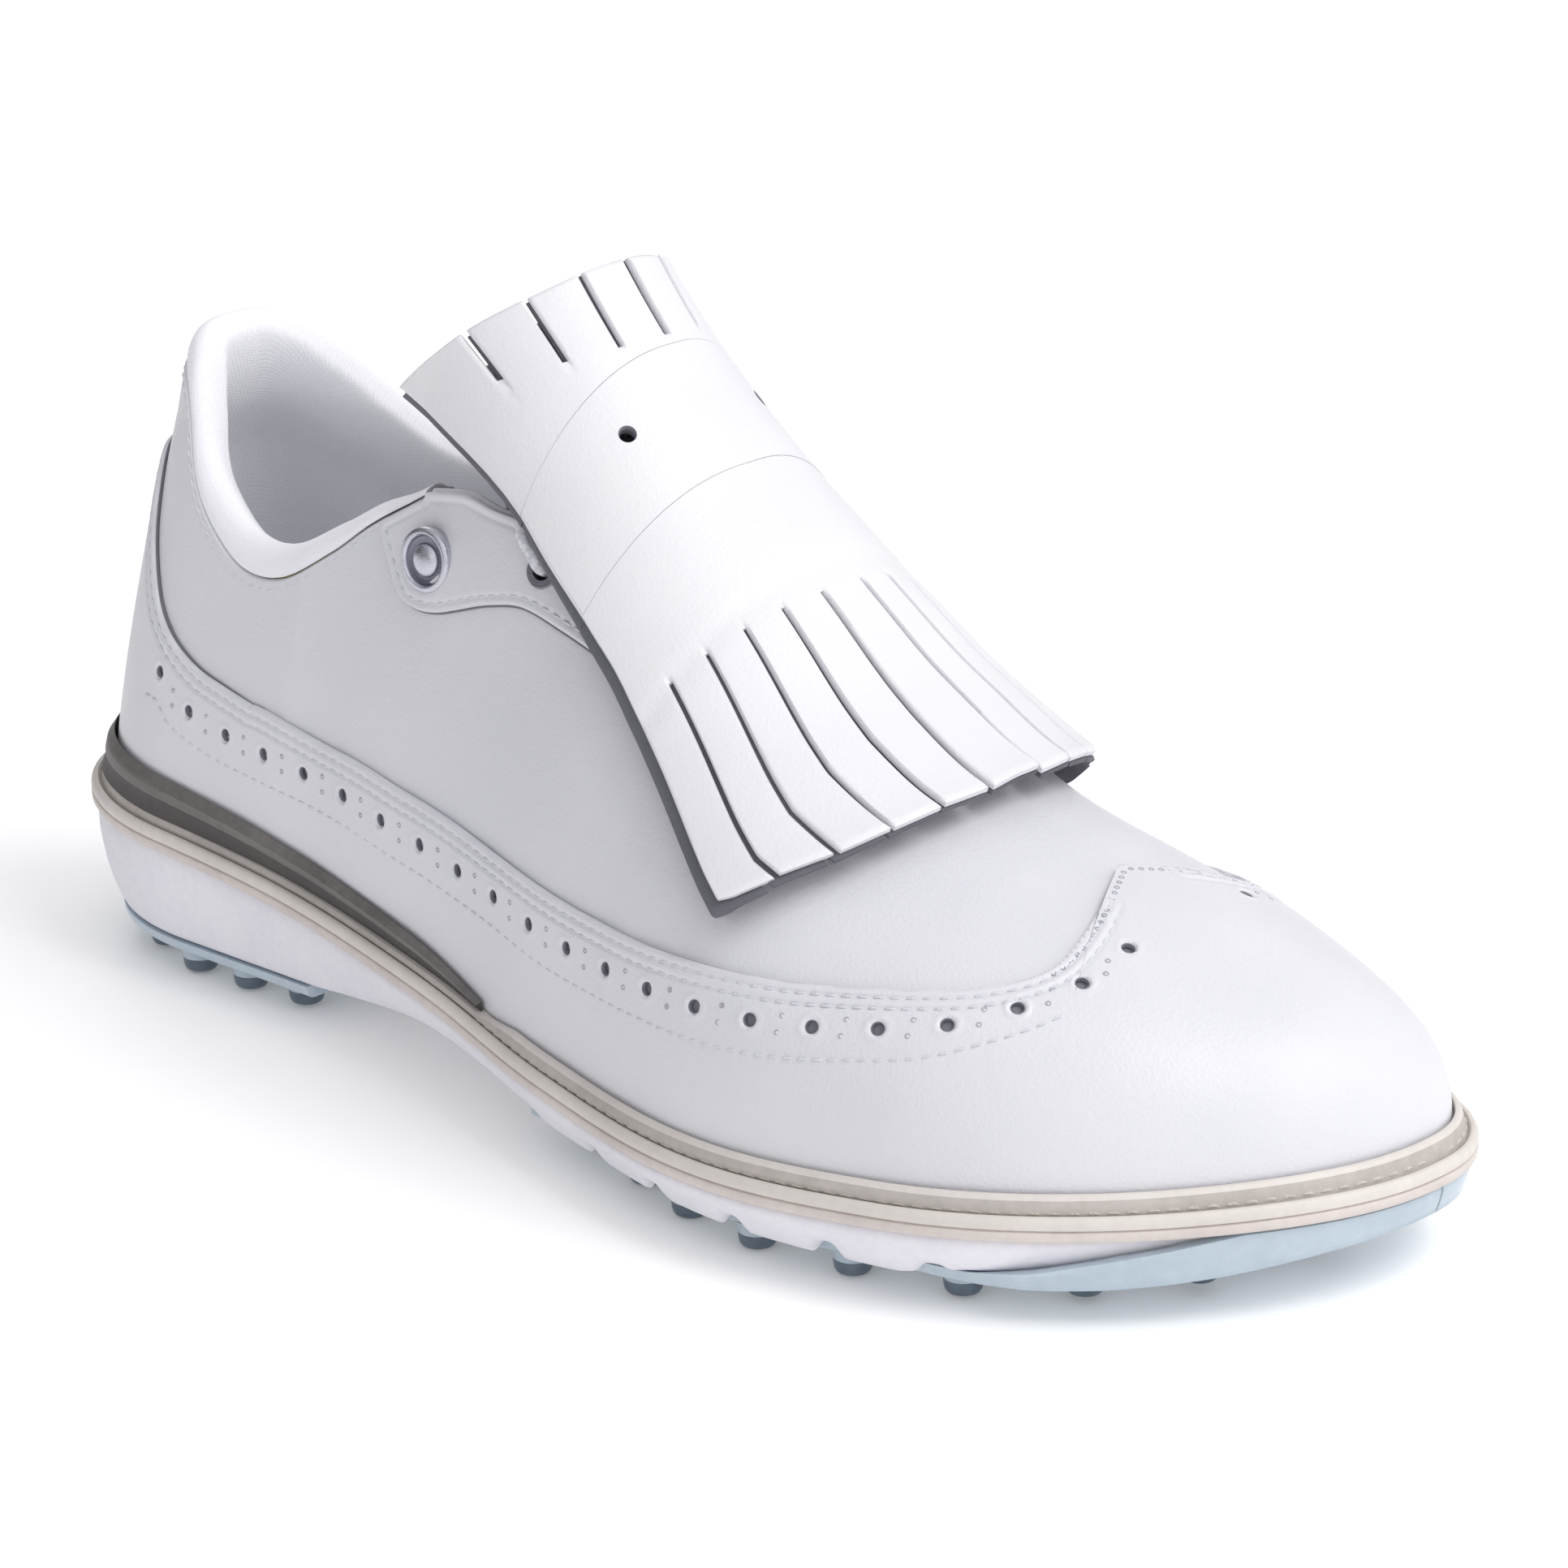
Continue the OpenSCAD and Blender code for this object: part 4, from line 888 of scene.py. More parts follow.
def make_wing():
    u = np.unique(np.concatenate([np.linspace(0, 1, 680), stations(232, PEAK_X, 110)]))
    side, u = mirrored(u, -1.0)
    x = x_of(u)
    hi = np.where(side < 0, wing_top(-1, x), wing_top(1, x))
    # the rows below the peak's steep edge keep their place, so that no crease crosses the leather
    before = np.minimum(x, 236)
    mid = 0.86 * np.where(side < 0, wing_top(-1, before), wing_top(1, before))
    s = np.concatenate([rows_between(np.zeros(len(u)), mid, 60), rows_between(mid, hi, 40)[:, 1:]],
                       1)
    p, n = skin_parts(side[:, None], u[:, None], s)
    flat = p + n * OVERLAY_OUT
    edge_x, lines = wing_edge()
    edge = np.concatenate([line[0] for line in lines])[::3]
    _, d = nearest(flat, edge)
    seam = 0.22 * (dent(d, SEAM, SEAM_W) + dent(d, SECOND_SEAM, SEAM_W))
    puff = 0.12 * dent(d, (SEAM + SECOND_SEAM) / 2, 0.6)
    hole_x = punch_places()
    q, m = zip(*[skin_parts(sd, share(hole_x), curve(PUNCH_S, hole_x)) for sd in (-1, 1)])
    hole_n = np.concatenate(m)
    holes = np.concatenate(q) + hole_n * OVERLAY_OUT
    _, h = nearest(flat, holes)
    rim = 0.16 * dent(h, 1.75, 0.45) - 0.35 * np.exp(-(h / 1.25) ** 4)
    off = OVERLAY_OUT + ripple(p) + puff - seam + rim - edge_round(d, 0.7)
    out = p + n * off[..., None]
    wing = shell("long_wing_leather", out, p + n * OVERLAY_IN, [WHITE, HOLE_SHADE], hi < 1,
                 ends=False)
    # the lower bore of each hole carries painted shade, and the flared top stays white
    bore = [[0, 0], [HOLE_R, 0], [HOLE_R, 1.05], [1.12, 1.35], [1.45, 1.75], [1.5, 3], [0, 3]]
    cut(wing, lathes("cutter", holes - hole_n * 1.6, hole_n, bore, [WHITE, HOLE_SHADE], 24,
                     np.array([1, 1, 1, 0, 0, 0])))
    piece(wing, "shoe", "white_leather", "long_wing")
    # dark discs of painted shade at the bottom of each large hole, over the white leather below
    dish = [[0, 0.02], [0.8, 0.01], [1.25, -0.05], [1.25, -0.2], [0, -0.2]]
    piece(lathes("punched_hole_shade_floors", holes - hole_n * 1.28, hole_n, dish, [HOLE_SHADE], 20),
          "shoe", "white_leather")

    # pairs of small pricks between the large holes, and a fine row round the peak, drawn as dark
    # dots of painted shade
    pricks = []
    for sd in (-1, 1):
        line, across = punch_line(sd, (hole_x[:-1] + hole_x[1:]) / 2, 0.02)
        pricks += [line + across * 1.35, line - across * 1.35]
    for e, m, g in lines:
        d0 = along(e)
        at = np.arange(d0[np.searchsorted(edge_x, 237)], d0[-1] - 0.8, 1.7)
        pricks.append(resample(e, at) + resample_on(d0, g, at) * 1.2)
    pricks, prick_n = on_wing(np.concatenate(pricks), flat, n)
    i, _ = nearest(pricks, flat.reshape(-1, 3))
    pricks = pricks + prick_n * np.sum((out.reshape(-1, 3)[i] - pricks) * prick_n, 1,
                                       keepdims=True)
    cup = [[0, -0.05], [0.22, 0.0], [0.36, 0.05], [0.46, 0.04], [0.5, -0.1]]
    piece(lathes("small_pricks", pricks, prick_n, cup, [PRICK_SHADE], 12), "shoe", "white_leather")

    # a thin dark tube of painted shadow under the edge that thins out towards the toe
    k = int(np.searchsorted(edge_x, 64))
    shadow_r = 0.3 * np.clip((k - np.arange(k)) / 200, 0.1, 1)[::3, None]
    for (e, m, g), label in zip(lines, ("lateral", "medial")):
        low_edge = (e - m * (OVERLAY_OUT - OVERLAY_IN) - g * 0.12)[:k:3]
        piece(tube("wing_edge_shadow_" + label, low_edge, shadow_r, 8, EDGE_SHADOW), "shoe",
              "white_leather")

    # two rows of stitches inside the edge, one below the band
    rows = []
    for (e, m, g), sd in zip(lines, (-1, 1)):
        for inset in (SEAM, SECOND_SEAM):
            q, qn = on_wing(e + g * inset, flat, n)
            _, gap = nearest(q, edge)
            keep = gap > inset - 0.25
            q, qn = q[keep][::4], qn[keep][::4]
            rows.append(stitches(q - qn * 0.2, qn))
        line, across = punch_line(sd, np.arange(30, 244, 0.5), -0.02)
        q, _ = on_wing(line + across * 5.2, flat, n)
        q, qn = on_wing(resample(q, np.arange(0, along(q)[-1], 1.0)), flat, n)
        rows.append(stitches(q + qn * 0.02, qn, radius=0.17))
    piece(join("wing_stitching", rows), "shoe", "white_leather")


def make_eyestays():
    tab_end, tab_round = 88, 8
    straight = tab_end + tab_round
    rows = []
    for side, name in ((-1, "lateral"), (1, "medial")):
        x = np.concatenate([tab_end + tab_round * (1 - np.cos(np.linspace(0, math.pi / 2, 50))),
                            np.linspace(straight, VAMP_SEAM - 0.4, 190)[1:]])
        u = share(x)
        hi = top_s(side, x) - 0.004
        f = np.clip((straight - x) / tab_round, 0, 1)
        tab = curve(TAB_S, np.maximum(x, straight))
        lo = tab + (hi - 0.006 - tab) * (1 - np.sqrt(np.maximum(1 - f ** 2, 0)))
        p, n = skin_parts(side, u[:, None], rows_between(lo, hi, 60))
        _, d = nearest(p, np.concatenate([p[:, 0], p[0], p[:, -1]]))
        off = OVERLAY_OUT + ripple(p) - 0.2 * dent(d, SEAM, SEAM_W) - edge_round(d, 0.6)
        obj = shell("eyestay_leather_" + name, p + n * off[..., None], p + n * OVERLAY_IN,
                    [WHITE])
        cut(obj, eyelet_cutters(side))
        piece(obj, "shoe", "white_leather", "eyestay_" + name)
        lower, normal = p[:, 0], n[:, 0]
        g = inward(lower, normal, p[:, 8])
        g[:6] = g[6]
        # a thin dark tube of painted shadow under the tab's lower edge
        low_edge = lower + normal * OVERLAY_IN - g * 0.12
        piece(tube("tab_edge_shadow_" + name, low_edge[1:], 0.26, 8, EDGE_SHADOW), "shoe",
              "white_leather")
        path, pn = on_wing(lower + g * SEAM, p, n)
        rows.append(stitches((path + pn * (OVERLAY_OUT - 0.18))[4:-8], pn[4:-8]))
    piece(join("eyestay_stitching", rows), "shoe", "white_leather")


def make_button():
    x, s = 101.5, 0.533
    p, n = skin_parts(-1, share(x), s)
    prof = [[5.55, -0.3], [5.6, 0.2], [5.55, 0.85], [5.3, 1.3], [4.95, 1.5], [4.5, 1.45],
            [4.2, 1.15], [4.0, 0.75], [3.7, 0.62], [2.9, 0.62], [2.75, 0.9], [2.5, 1.25],
            [1.8, 1.6], [1.0, 1.76], [0.001, 1.8]]
    bands = np.array([0, 0, 0, 0, 0, 0, 1, 1, 1, 1, 0, 0, 0, 0])
    obj = lathes("side_medallion", [p + n * (OVERLAY_OUT + 0.2)], [n], prof,
                 [BUTTON, BUTTON_DARK], 64, bands)
    piece(obj, "shoe", "button_plastic", "side_button")


# ---------------------------------------------------------------- collar, lining, footbed
def roll_path(z, r, b):
    """The collar cloth in section: up the inside, over the padded roll and down to the leather."""
    return np.array([[0, b], [0, b + (z - 22 - b) * 0.35], [0, b + (z - 22 - b) * 0.7],
                     [0, z - 22], [-1.2, z - 16], [-3, z - 10], [-4, z - 3], [-3.8, z + r * 0.5],
                     [-2.2, z + r * 0.9], [0, z + r + 0.6], [2, z + r * 0.85 + 0.4],
                     [3, z + r * 0.4 + 0.4], [3, z + 0.35]])


def make_collar():
    side, u = mirrored(stations(COLLAR_FRONT, HEEL_X, 200), 1.0)
    x = x_of(u)
    sections = []
    for sd, uu, xx in zip(side, u, x):
        b = float(curve(FEATHER_Z, xx))
        path = smooth_path(roll_path(float(collar_top(sd, xx)), float(curve(ROLL_H, xx)), b), 5)
        t = tangents(path)
        inner = path + np.stack([t[:, 1], -t[:, 0]], -1) * LINING_T
        sections.append(np.concatenate([inner, path[::-1]]))
    sections = np.array(sections)
    off, z = sections[..., 0], np.maximum(sections[..., 1], curve(FEATHER_Z, x)[:, None])
    s = s_for(side[:, None], u[:, None], z)
    p, n = skin_parts(side[:, None], u[:, None], s)
    out = p + n * (off + 0.12 * waves(p, 26, 9))[..., None]
    obj = loft("padded_collar_cloth", out, [LINING], sharp=70)
    piece(obj, "shoe", "lining_textile", "collar_lining")

    # the row that sews the collar cloth to the leather
    rows = []
    xs = np.linspace(HEEL_X + 1, COLLAR_FRONT, 260)
    for sd in (-1, 1):
        q, qn = skin_parts(sd, share(xs), s_for(sd, share(xs), collar_top(sd, xs) - 1.7))
        rows.append(stitches(q + qn * (LEATHER_OUT - 0.02), qn, radius=0.19))
    piece(join("collar_stitching", rows), "shoe", "white_leather")


def make_vamp_lining():
    side, u = mirrored(stations(107, TOE_X, 170), -1.0)
    hi = np.clip(0.52 + 0.48 * (x_of(u) - 165) / 13, 0.52, 1)
    s = rows_between(np.zeros(len(u)), hi, 40)
    p, n = skin_parts(side[:, None], u[:, None], s)
    obj = shell("vamp_lining_cloth", p + n * LINING_T, p, [INNER_LINING], hi < 1)
    piece(obj, "shoe", "lining_textile", "vamp_lining")


def slab(name, profile, u, materials, sharp=38):
    """A sole layer. profile(side, x) gives (k, m) offsets and heights from bottom to top."""
    a, b = [sole_pt(side, u[:, None], *profile(side, x_of(u))) for side in (-1, 1)]
    # cells across, so that the top and the bottom are not single long faces
    f = np.linspace(0, 1, 14)[1:-1][None, :, None]
    top = a[:, -1:] * (1 - f) + b[:, -1:] * f
    low = b[:, :1] * (1 - f) + a[:, :1] * f
    return loft(name, np.concatenate([a, top, b[:, ::-1], low], 1), materials, sharp=sharp)


def make_footbed():
    u = np.linspace(0, 1, 240)

    def profile(side, x):
        rows = np.array([[-1.2, 0], [-0.6, 1], [-0.6, 2.4], [-1.0, 3.7], [-1.8, 4.3], [-3.2, 4.5],
                         [-6, 4.35], [-10, 4.1]])
        off = rows[:, 0] + 0 * x[:, None]
        h = rows[:, 1] + (welt_top(x) + 2.4)[:, None]
        blunt = np.clip(np.minimum(x - HEEL_X, TOE_X - x) / 14, 0, 1)[:, None]
        off = np.where(off < -3, -3 + (off + 3) * blunt, off)
        off = off - 1.7 * np.clip((24 - x) / 12, 0, 1)[:, None]
        return off, h
    obj = slab("footbed_cushion", profile, u, [SOCK], 60)
    piece(obj, "shoe", "footbed_foam", "footbed")


# ---------------------------------------------------------------- sole
def foam_edge(x):
    """How far the midsole stands out. It is drawn in under the toe."""
    return curve(LEDGE, x) - 1.2 - 2.6 * toe_wrap(x)


def notch(side, u, x):
    """Notches along the lower edge of the midsole, between the lugs."""
    pitch, width = 17.5, 2.2
    d = along(np.stack(outline(side, u), -1))
    where = np.clip((x - 150) / 8, 0, 1) * np.clip((246 - x) / 8, 0, 1)
    phase = (d % pitch) / pitch - 0.5
    return where * np.exp(-(phase * pitch / width) ** 4)


def midsole_profile(side, x, u):
    z = curve(BOTTOM_Z, x)
    w = welt_top(x) - WELT_H - SOLE_GAP
    e = foam_edge(x)
    k = notch(side, u, x)
    rows = [(-7, 0), (-5.2, 0), (-4.2, 0.02), (-3.6, 0.05), (-2.9, 0.12), (-2.1, 0.22),
            (-1.5, 0.32), (-0.85, 0.45), (-0.35, 0.6), (0.05, 0.75), (0.1, 0.86), (-0.05, 0.95),
            (-0.3, 1.0)]
    off, hh = [], []
    for i, (o, f) in enumerate(rows):
        o_abs = -7 + 0 * x if i == 0 else e + o
        near_edge = max(0.0, 1 - f / 0.35) if i > 1 else 0.0
        off.append(o_abs - k * 0.5 * near_edge)
        hh.append(z + (w - z) * f + near_edge * (k * 2.4 - 2.0) * under_lip(x))
    off += [np.full(x.shape, WELT_IN - 0.3)] * 2
    hh += [w, welt_top(x)]
    return np.array(off).T, np.array(hh).T


def make_midsole():
    u = np.linspace(0, 1, 700)
    obj = slab("midsole_foam_body", lambda side, x: midsole_profile(side, x, u), u, [FOAM])
    piece(obj, "shoe", "midsole_foam", "midsole")


HEEL_LUGS = [[16, 0], [23, -19], [23, 19], [30, 0], [37, -24], [37, 24], [42, -9], [42, 9],
             [50, -24], [50, 24], [56, 0], [63, -23], [63, 23]]
FORE_LUGS = [[x, y] for x, row in (
    (148, (-36, -18, 0, 18)), (162, (-42, -26, -9, 8, 24)), (176, (-47, -33, -16, 1, 17, 31)),
    (192, (-49, -32, -15, 2, 18, 33)), (210, (-47, -30, -13, 4, 20, 34)),
    (228, (-42, -26, -9, 7, 22, 34)), (243, (-31, -15, 2, 17, 29)), (255, (-18, -3, 11, 23)),
    (264, (4,))) for y in row]
PLATE_T = 2.2


def lugs(places):
    xy = np.array(places, float)
    root = curve(BOTTOM_Z, xy[:, 0]) - SOLE_GAP - PLATE_T + 0.5
    drop = np.maximum(curve(BOTTOM_Z, xy[:, 0]) - curve(BOTTOM_Z, 200.0), 0)
    parts = []
    prof = [(0.001, 0.0), (1.5, 0.0), (2.15, 0.06), (2.65, 0.3), (2.95, 0.75), (3.1, 1.3),
            (3.15, 1.9), (3.2, 2.6), (3.3, 3.6), (3.6, 4.4), (4.1, 5.0)]
    centres = np.stack([xy[:, 0] - CENTRE_X, xy[:, 1] - CENTRE_Y, drop], -1)
    for c, r, d in zip(centres, root, drop):
        k = (r - d) / 4.85
        # the bands from the tip up to about half the lug's height carry the painted shade
        parts.append(lathes("lug", [c], [[0, 0, 1.0]], [[a, b * k] for a, b in prof],
                            [RUBBER, LUG_SHADE], 24, np.array([1, 1, 1, 1, 1, 1, 1, 0, 0, 0])))
    return parts


def make_outsoles():
    def heel(side, x):
        z = curve(BOTTOM_Z, x) - SOLE_GAP
        e = foam_edge(x) - 3.6
        rows = [(-1.8, -PLATE_T), (-1.0, -PLATE_T + 0.15), (-0.5, -PLATE_T + 0.5),
                (-0.2, -PLATE_T + 1.0), (0, -0.5), (0, 0)]
        return (np.stack([e + r[0] for r in rows], -1), np.stack([z + r[1] for r in rows], -1))
    plate = slab("plate", heel, stations(HEEL_X, 71, 160), [RUBBER, LUG_SHADE])
    obj = join("outsole_heel_rubber", [plate] + lugs(HEEL_LUGS))
    piece(obj, "shoe", "outsole_rubber", "outsole_heel")

    def fore(side, x):
        z = curve(BOTTOM_Z, x) - SOLE_GAP
        f = toe_wrap(x)
        edge = foam_edge(x)

        def off_at(g):
            return edge + np.where(g < 0.3, -4.2 + 2.6 * g / 0.3,
                                   np.where(g < 0.75, -1.6 + 1.6 * (g - 0.3) / 0.45, 0))
        tuck = 2.1 * under_lip(x)
        t = 0.1 + 2.2 * np.clip(f * 4, 0, 1)
        h = 0.08 + (welt_top(x) - WELT_H - 0.35 - z) * f
        mm = off_at(f * 0.5) + 0.45 + 0.6 * f - tuck
        o = off_at(f) + 0.45 + 0.1 * f - tuck
        rows_o = [mm - 1.8, mm - 0.9 + t * 0.3, mm + t * 0.6, mm + t * 0.9, mm + t,
                  (mm + o) / 2 + t, o + t * 0.9, o + t * 0.4, o, mm, edge - 4.6 - tuck]
        rows_z = [z - PLATE_T, z - PLATE_T + 0.15, z - PLATE_T + 0.8, z + h * 0.2, z + h * 0.5,
                  z + h * 0.75, z + h * 0.96, z + h, z + h * 0.97, z + h * 0.5, z]
        return np.stack(rows_o, -1), np.stack(rows_z, -1)
    plate = slab("plate", fore, stations(138, TOE_X, 420), [RUBBER, LUG_SHADE])
    obj = join("outsole_forefoot_rubber", [plate] + lugs(FORE_LUGS))
    piece(obj, "shoe", "outsole_rubber", "outsole_forefoot")


def make_welt():
    side, u = (v[:-1] for v in mirrored(np.linspace(0, 1, 560), -1.0))
    x = x_of(u)
    e = curve(LEDGE, x)
    # the storm rim stands up from the end of the heel strip to the toe
    up = 1.6 * np.clip((x - 128) / 10, 0.02, 1)
    rim = WELT_RIM
    # each row is an offset, a height and a material: 0 cream, 1 and 3 beige, 2 the groove
    rows = [(WELT_IN, -WELT_H, 0), (e - 2.4, -WELT_H, 1), (e - 0.9, -WELT_H, 1),
            (e - 0.35, -WELT_H + 0.25, 1), (e - 0.05, -WELT_H + 0.8, 1), (e, -WELT_H + 1.5, 1),
            (e - 0.12, -3.75, 3), (e - 0.5, -3.55, 3), (e - 0.12, -3.3, 0), (e, -2.75, 0),
            (e - 0.12, -2.1, 0), (e - 0.4, -1.6, 0), (e - 0.85, -1.35, 0), (e - 1.25, -1.4, 0),
            (e - 1.5, -1.75, 2), (e - 1.8, -1.95, 2), (rim + 1.6, up * 0.1 - 0.5, 2),
            (rim + 1.25, up * 0.55, 0), (rim + 0.8, up * 0.85, 0), (rim + 0.4, up, 0),
            (rim + 0.1, up * 0.98, 0), (rim, up * 0.8, 0), (rim, 0, 0), (WELT_IN, 0, 0)]
    off, h = [np.stack([r[i] + 0 * e for r in rows], -1) for i in (0, 1)]
    pts = sole_pt(side[:, None], u[:, None], off, h + welt_top(x)[:, None])
    obj = loft("storm_welt", pts, [CREAM, BEIGE, GROOVE, BEIGE], True, [r[2] for r in rows])
    piece(obj, "shoe", "welt_strip", "welt")
    u = stations(126, TOE_X, 700)
    x = x_of(u)
    stitch_row = (curve(LEDGE, x) - 1.8 + rim + 1.15) / 2
    upward = np.tile([[0, 0, 1.0]], (len(u), 1))
    piece(join("welt_stitching",
               [stitches(sole_pt(sd, u, stitch_row, welt_top(x) - 1.15), upward, WELT_THREAD, 3.0,
                         2.4, 0.36) for sd in (-1, 1)]), "shoe", "welt_strip")


def make_rand():
    side, u = mirrored(stations(127, HEEL_X, 220), 1.0)
    x = x_of(u)
    z = welt_top(x) + SOLE_GAP
    h = curve(RAND_H, x)

    def at_z(off, zz):
        return skin(side, u, s_for(side, u, zz), off)
    low_in = at_z(WELT_RIM, z)
    low_out = sole_pt(side, u, curve(LEDGE, x) - 2.1, z)
    shoulder = at_z(WELT_RIM + 1.3, z + h * 0.75)
    top = at_z(WELT_RIM + 0.2, z + h)
    pts = [low_in, low_out]
    groove = low_out * 0.72 + shoulder * 0.28
    inner = low_in * 0.5 + top * 0.5
    pull = (inner - groove) * 0.16
    for f, c in ((0.12, 0.4), (0.24, 0.85), (0.36, 1.0), (0.48, 0.85), (0.58, 0.35)):
        pts.append(low_out * (1 - f) + shoulder * f + pull * c)
    for f in (0.66, 0.8, 0.92, 1.0):
        pts.append(low_out * (1 - f) + shoulder * f + (groove - inner) * 0.05)
    for f in (0.35, 0.7):
        pts.append(shoulder * (1 - f) + top * f + (groove - inner) * 0.03)
    pts.append(top)
    # the lower, drawn-in bands take the darkest tone as painted shade of the recess, and the
    # shoulder takes the lighter one
    mats = [0] * 7 + [1] * (len(pts) - 8) + [0]
    obj = loft("heel_rand_strip", np.stack(pts, 1), [RAND_AND_DEEP_SHADE, RAND_AND_SHADE], band_mats=mats)
    piece(obj, "shoe", "rand_strip", "heel_rand")


# ---------------------------------------------------------------- tongue and lace
# the folds of the kiltie and the tongue
APRON_SPLIT, TONGUE_SPLIT = 142.0, 124.0


def across_s(w, e):
    w, e = spread(w, e)
    return np.where(w == 0, 1.0, s_between(e, 1, 1 - np.abs(w)))


def tongue_dip(x):
    return 1.4 * np.clip((x - 164) / 6, 0, 1)


def make_tongue():
    w = np.linspace(-1, 1, 81)
    side = np.where(w <= 0, -1.0, 1.0)
    for node, body, back, front, n in (
            ("tongue", "shoe", TONGUE_SPLIT + 0.4, 188.0, 110),
            ("tongue_tip", "tongue_tip", 113 - 19 * np.abs(w) ** 3, TONGUE_SPLIT, 46)):
        f = np.linspace(0, 1, n)[:, None]
        x = (back + 0 * w)[None] * (1 - f) + (front + 0 * w)[None] * f
        s = across_s(w[None], curve(TONGUE_EDGE, x))
        p, m = skin_parts(side[None], share(x), s)
        mid = np.clip((0.62 - np.abs(w)) / 0.14, 0, 1)[None]
        mid = mid * mid * (3 - 2 * mid)
        g = np.clip((168 - x) / 14, 0, 1)
        off = -0.8 - tongue_dip(x) + 5.5 * mid * g
        channel = 0.35 * np.exp(-((np.abs(w)[None] - 0.3) / 0.03) ** 2) * mid * g
        low = -2 - tongue_dip(x) + 0 * w[None]
        d = np.minimum(np.linalg.norm(p - p[:, :1], axis=-1),
                       np.linalg.norm(p - p[:, -1:], axis=-1))
        if node == "tongue_tip":
            d = np.minimum(d, np.linalg.norm(p - p[:1], axis=-1))
        thick = np.minimum((off - low) * 0.45, 2.0)
        q = np.clip(1 - d / np.maximum(thick, 0.1), 0, 1)
        pinch = thick * (1 - np.sqrt(np.maximum(1 - q ** 2, 0)))
        out = p + m * (off - channel - pinch + 0.12 * waves(p, 22, 3))[..., None]
        inn = p + m * (low + pinch * 0.6)[..., None]
        obj = shell(node + "_cloth", out, inn, [TONGUE_GREY], sharp=60)
        piece(obj, body, "tongue_textile", node)


# how far apart the cord's hidden lengths lie, as a share of the way round a section
LANE_V = 0.034
LOOP_X, LOOP_S = 122.5, 0.772


def cord_route():
    """The lace: in through the loop, up the rows of eyelets and back, with rounded corners."""
    def over(w, x):
        sd = -1 if w <= 0 else 1
        return skin(sd, share(x), across_s(w, eye_s(x)), CORD_TOP)

    def at_eye(sd, x, off):
        return skin(sd, share(x), eye_s(x), off)

    def under(sd, x, lane):
        return [(skin(sd, share(x), unturn(turn(eye_s(x)) + lane * LANE_V), CORD_UNDER), 0)]

    def bar(x, flip):
        return [(over(-w if flip else w, x), 0) for w in (-0.72, -0.48, -0.24, 0, 0.24, 0.48,
                                                          0.72)]

    def dive(sd, x):
        return [(at_eye(sd, x, CORD_TOP), 1), (at_eye(sd, x, CORD_UNDER), 1)]

    def climb(sd, x):
        return dive(sd, x)[::-1]
    r = ROWS
    route = ([(over(-0.12, r[3]), 0), (over(-0.4, r[3]), 0), (over(-0.66, (r[3] + LOOP_X) / 2), 0),
              (skin(-1, share(LOOP_X), LOOP_S, CORD_TOP), 0)]
             + dive(-1, r[3]) + under(-1, 135, 0) + climb(-1, r[2]) + bar(r[2], False)
             + dive(1, r[2]) + under(1, 148.5, -0.6) + under(1, r[1], -1) + under(1, 161.5, -0.6)
             + climb(1, r[0]) + bar(r[0], True) + dive(-1, r[0]) + under(-1, 161.5, 0)
             + climb(-1, r[1]) + bar(r[1], False) + dive(1, r[1]) + under(1, 148.5, 0.6)
             + under(1, r[2], 1) + under(1, 135, 0.6) + climb(1, r[3])
             + [(over(w, r[3]), 0) for w in (0.72, 0.4, 0.12)])
    line = []
    for i, (c, corner) in enumerate(route):
        if not corner:
            line.append(c)
            continue
        pa = c + unit(route[i - 1][0] - c) * 2
        pb = c + unit(route[i + 1][0] - c) * 2
        for t in (0, 0.25, 0.5, 0.75, 1):
            line.append(pa * (1 - t) ** 2 + c * 2 * t * (1 - t) + pb * t ** 2)
    return np.array(line)


def make_lace():
    line = smooth_path(cord_route(), 4)
    line = resample(line, np.arange(0, along(line)[-1], 0.45))
    sides = 14
    d, ang = along(line)[:, None], angles(sides)[None]
    braid_h = 0.05 * np.sin(d * 2.6 + 3 * ang) * np.sin(d * 2.6 - 3 * ang)
    obj = tube("lace_cord", line, 1.05 + braid_h, sides, CORD)
    piece(obj, "shoe", "lace_cord", "lace")


# ---------------------------------------------------------------- kiltie
# places of the columns across one strip, closer at its rounded edges
STRIP_F = np.array([0, 0.035, 0.08, 0.17, 0.3, 0.43, 0.57, 0.7, 0.83, 0.92, 0.965, 1])


def strip_columns(n, cut_share):
    """Columns across the kiltie: for each its place, its strip, and its place in the strip."""
    w, strip, local = [], [], []
    for i in range(n):
        a = -1 + (2 * i + (cut_share if i else 0)) / n
        b = -1 + (2 * (i + 1) - (cut_share if i < n - 1 else 0)) / n
        for f in STRIP_F:
            w.append(a + (b - a) * f)
            strip.append(i)
            local.append(f)
    return np.array(w), np.array(strip), np.array(local)


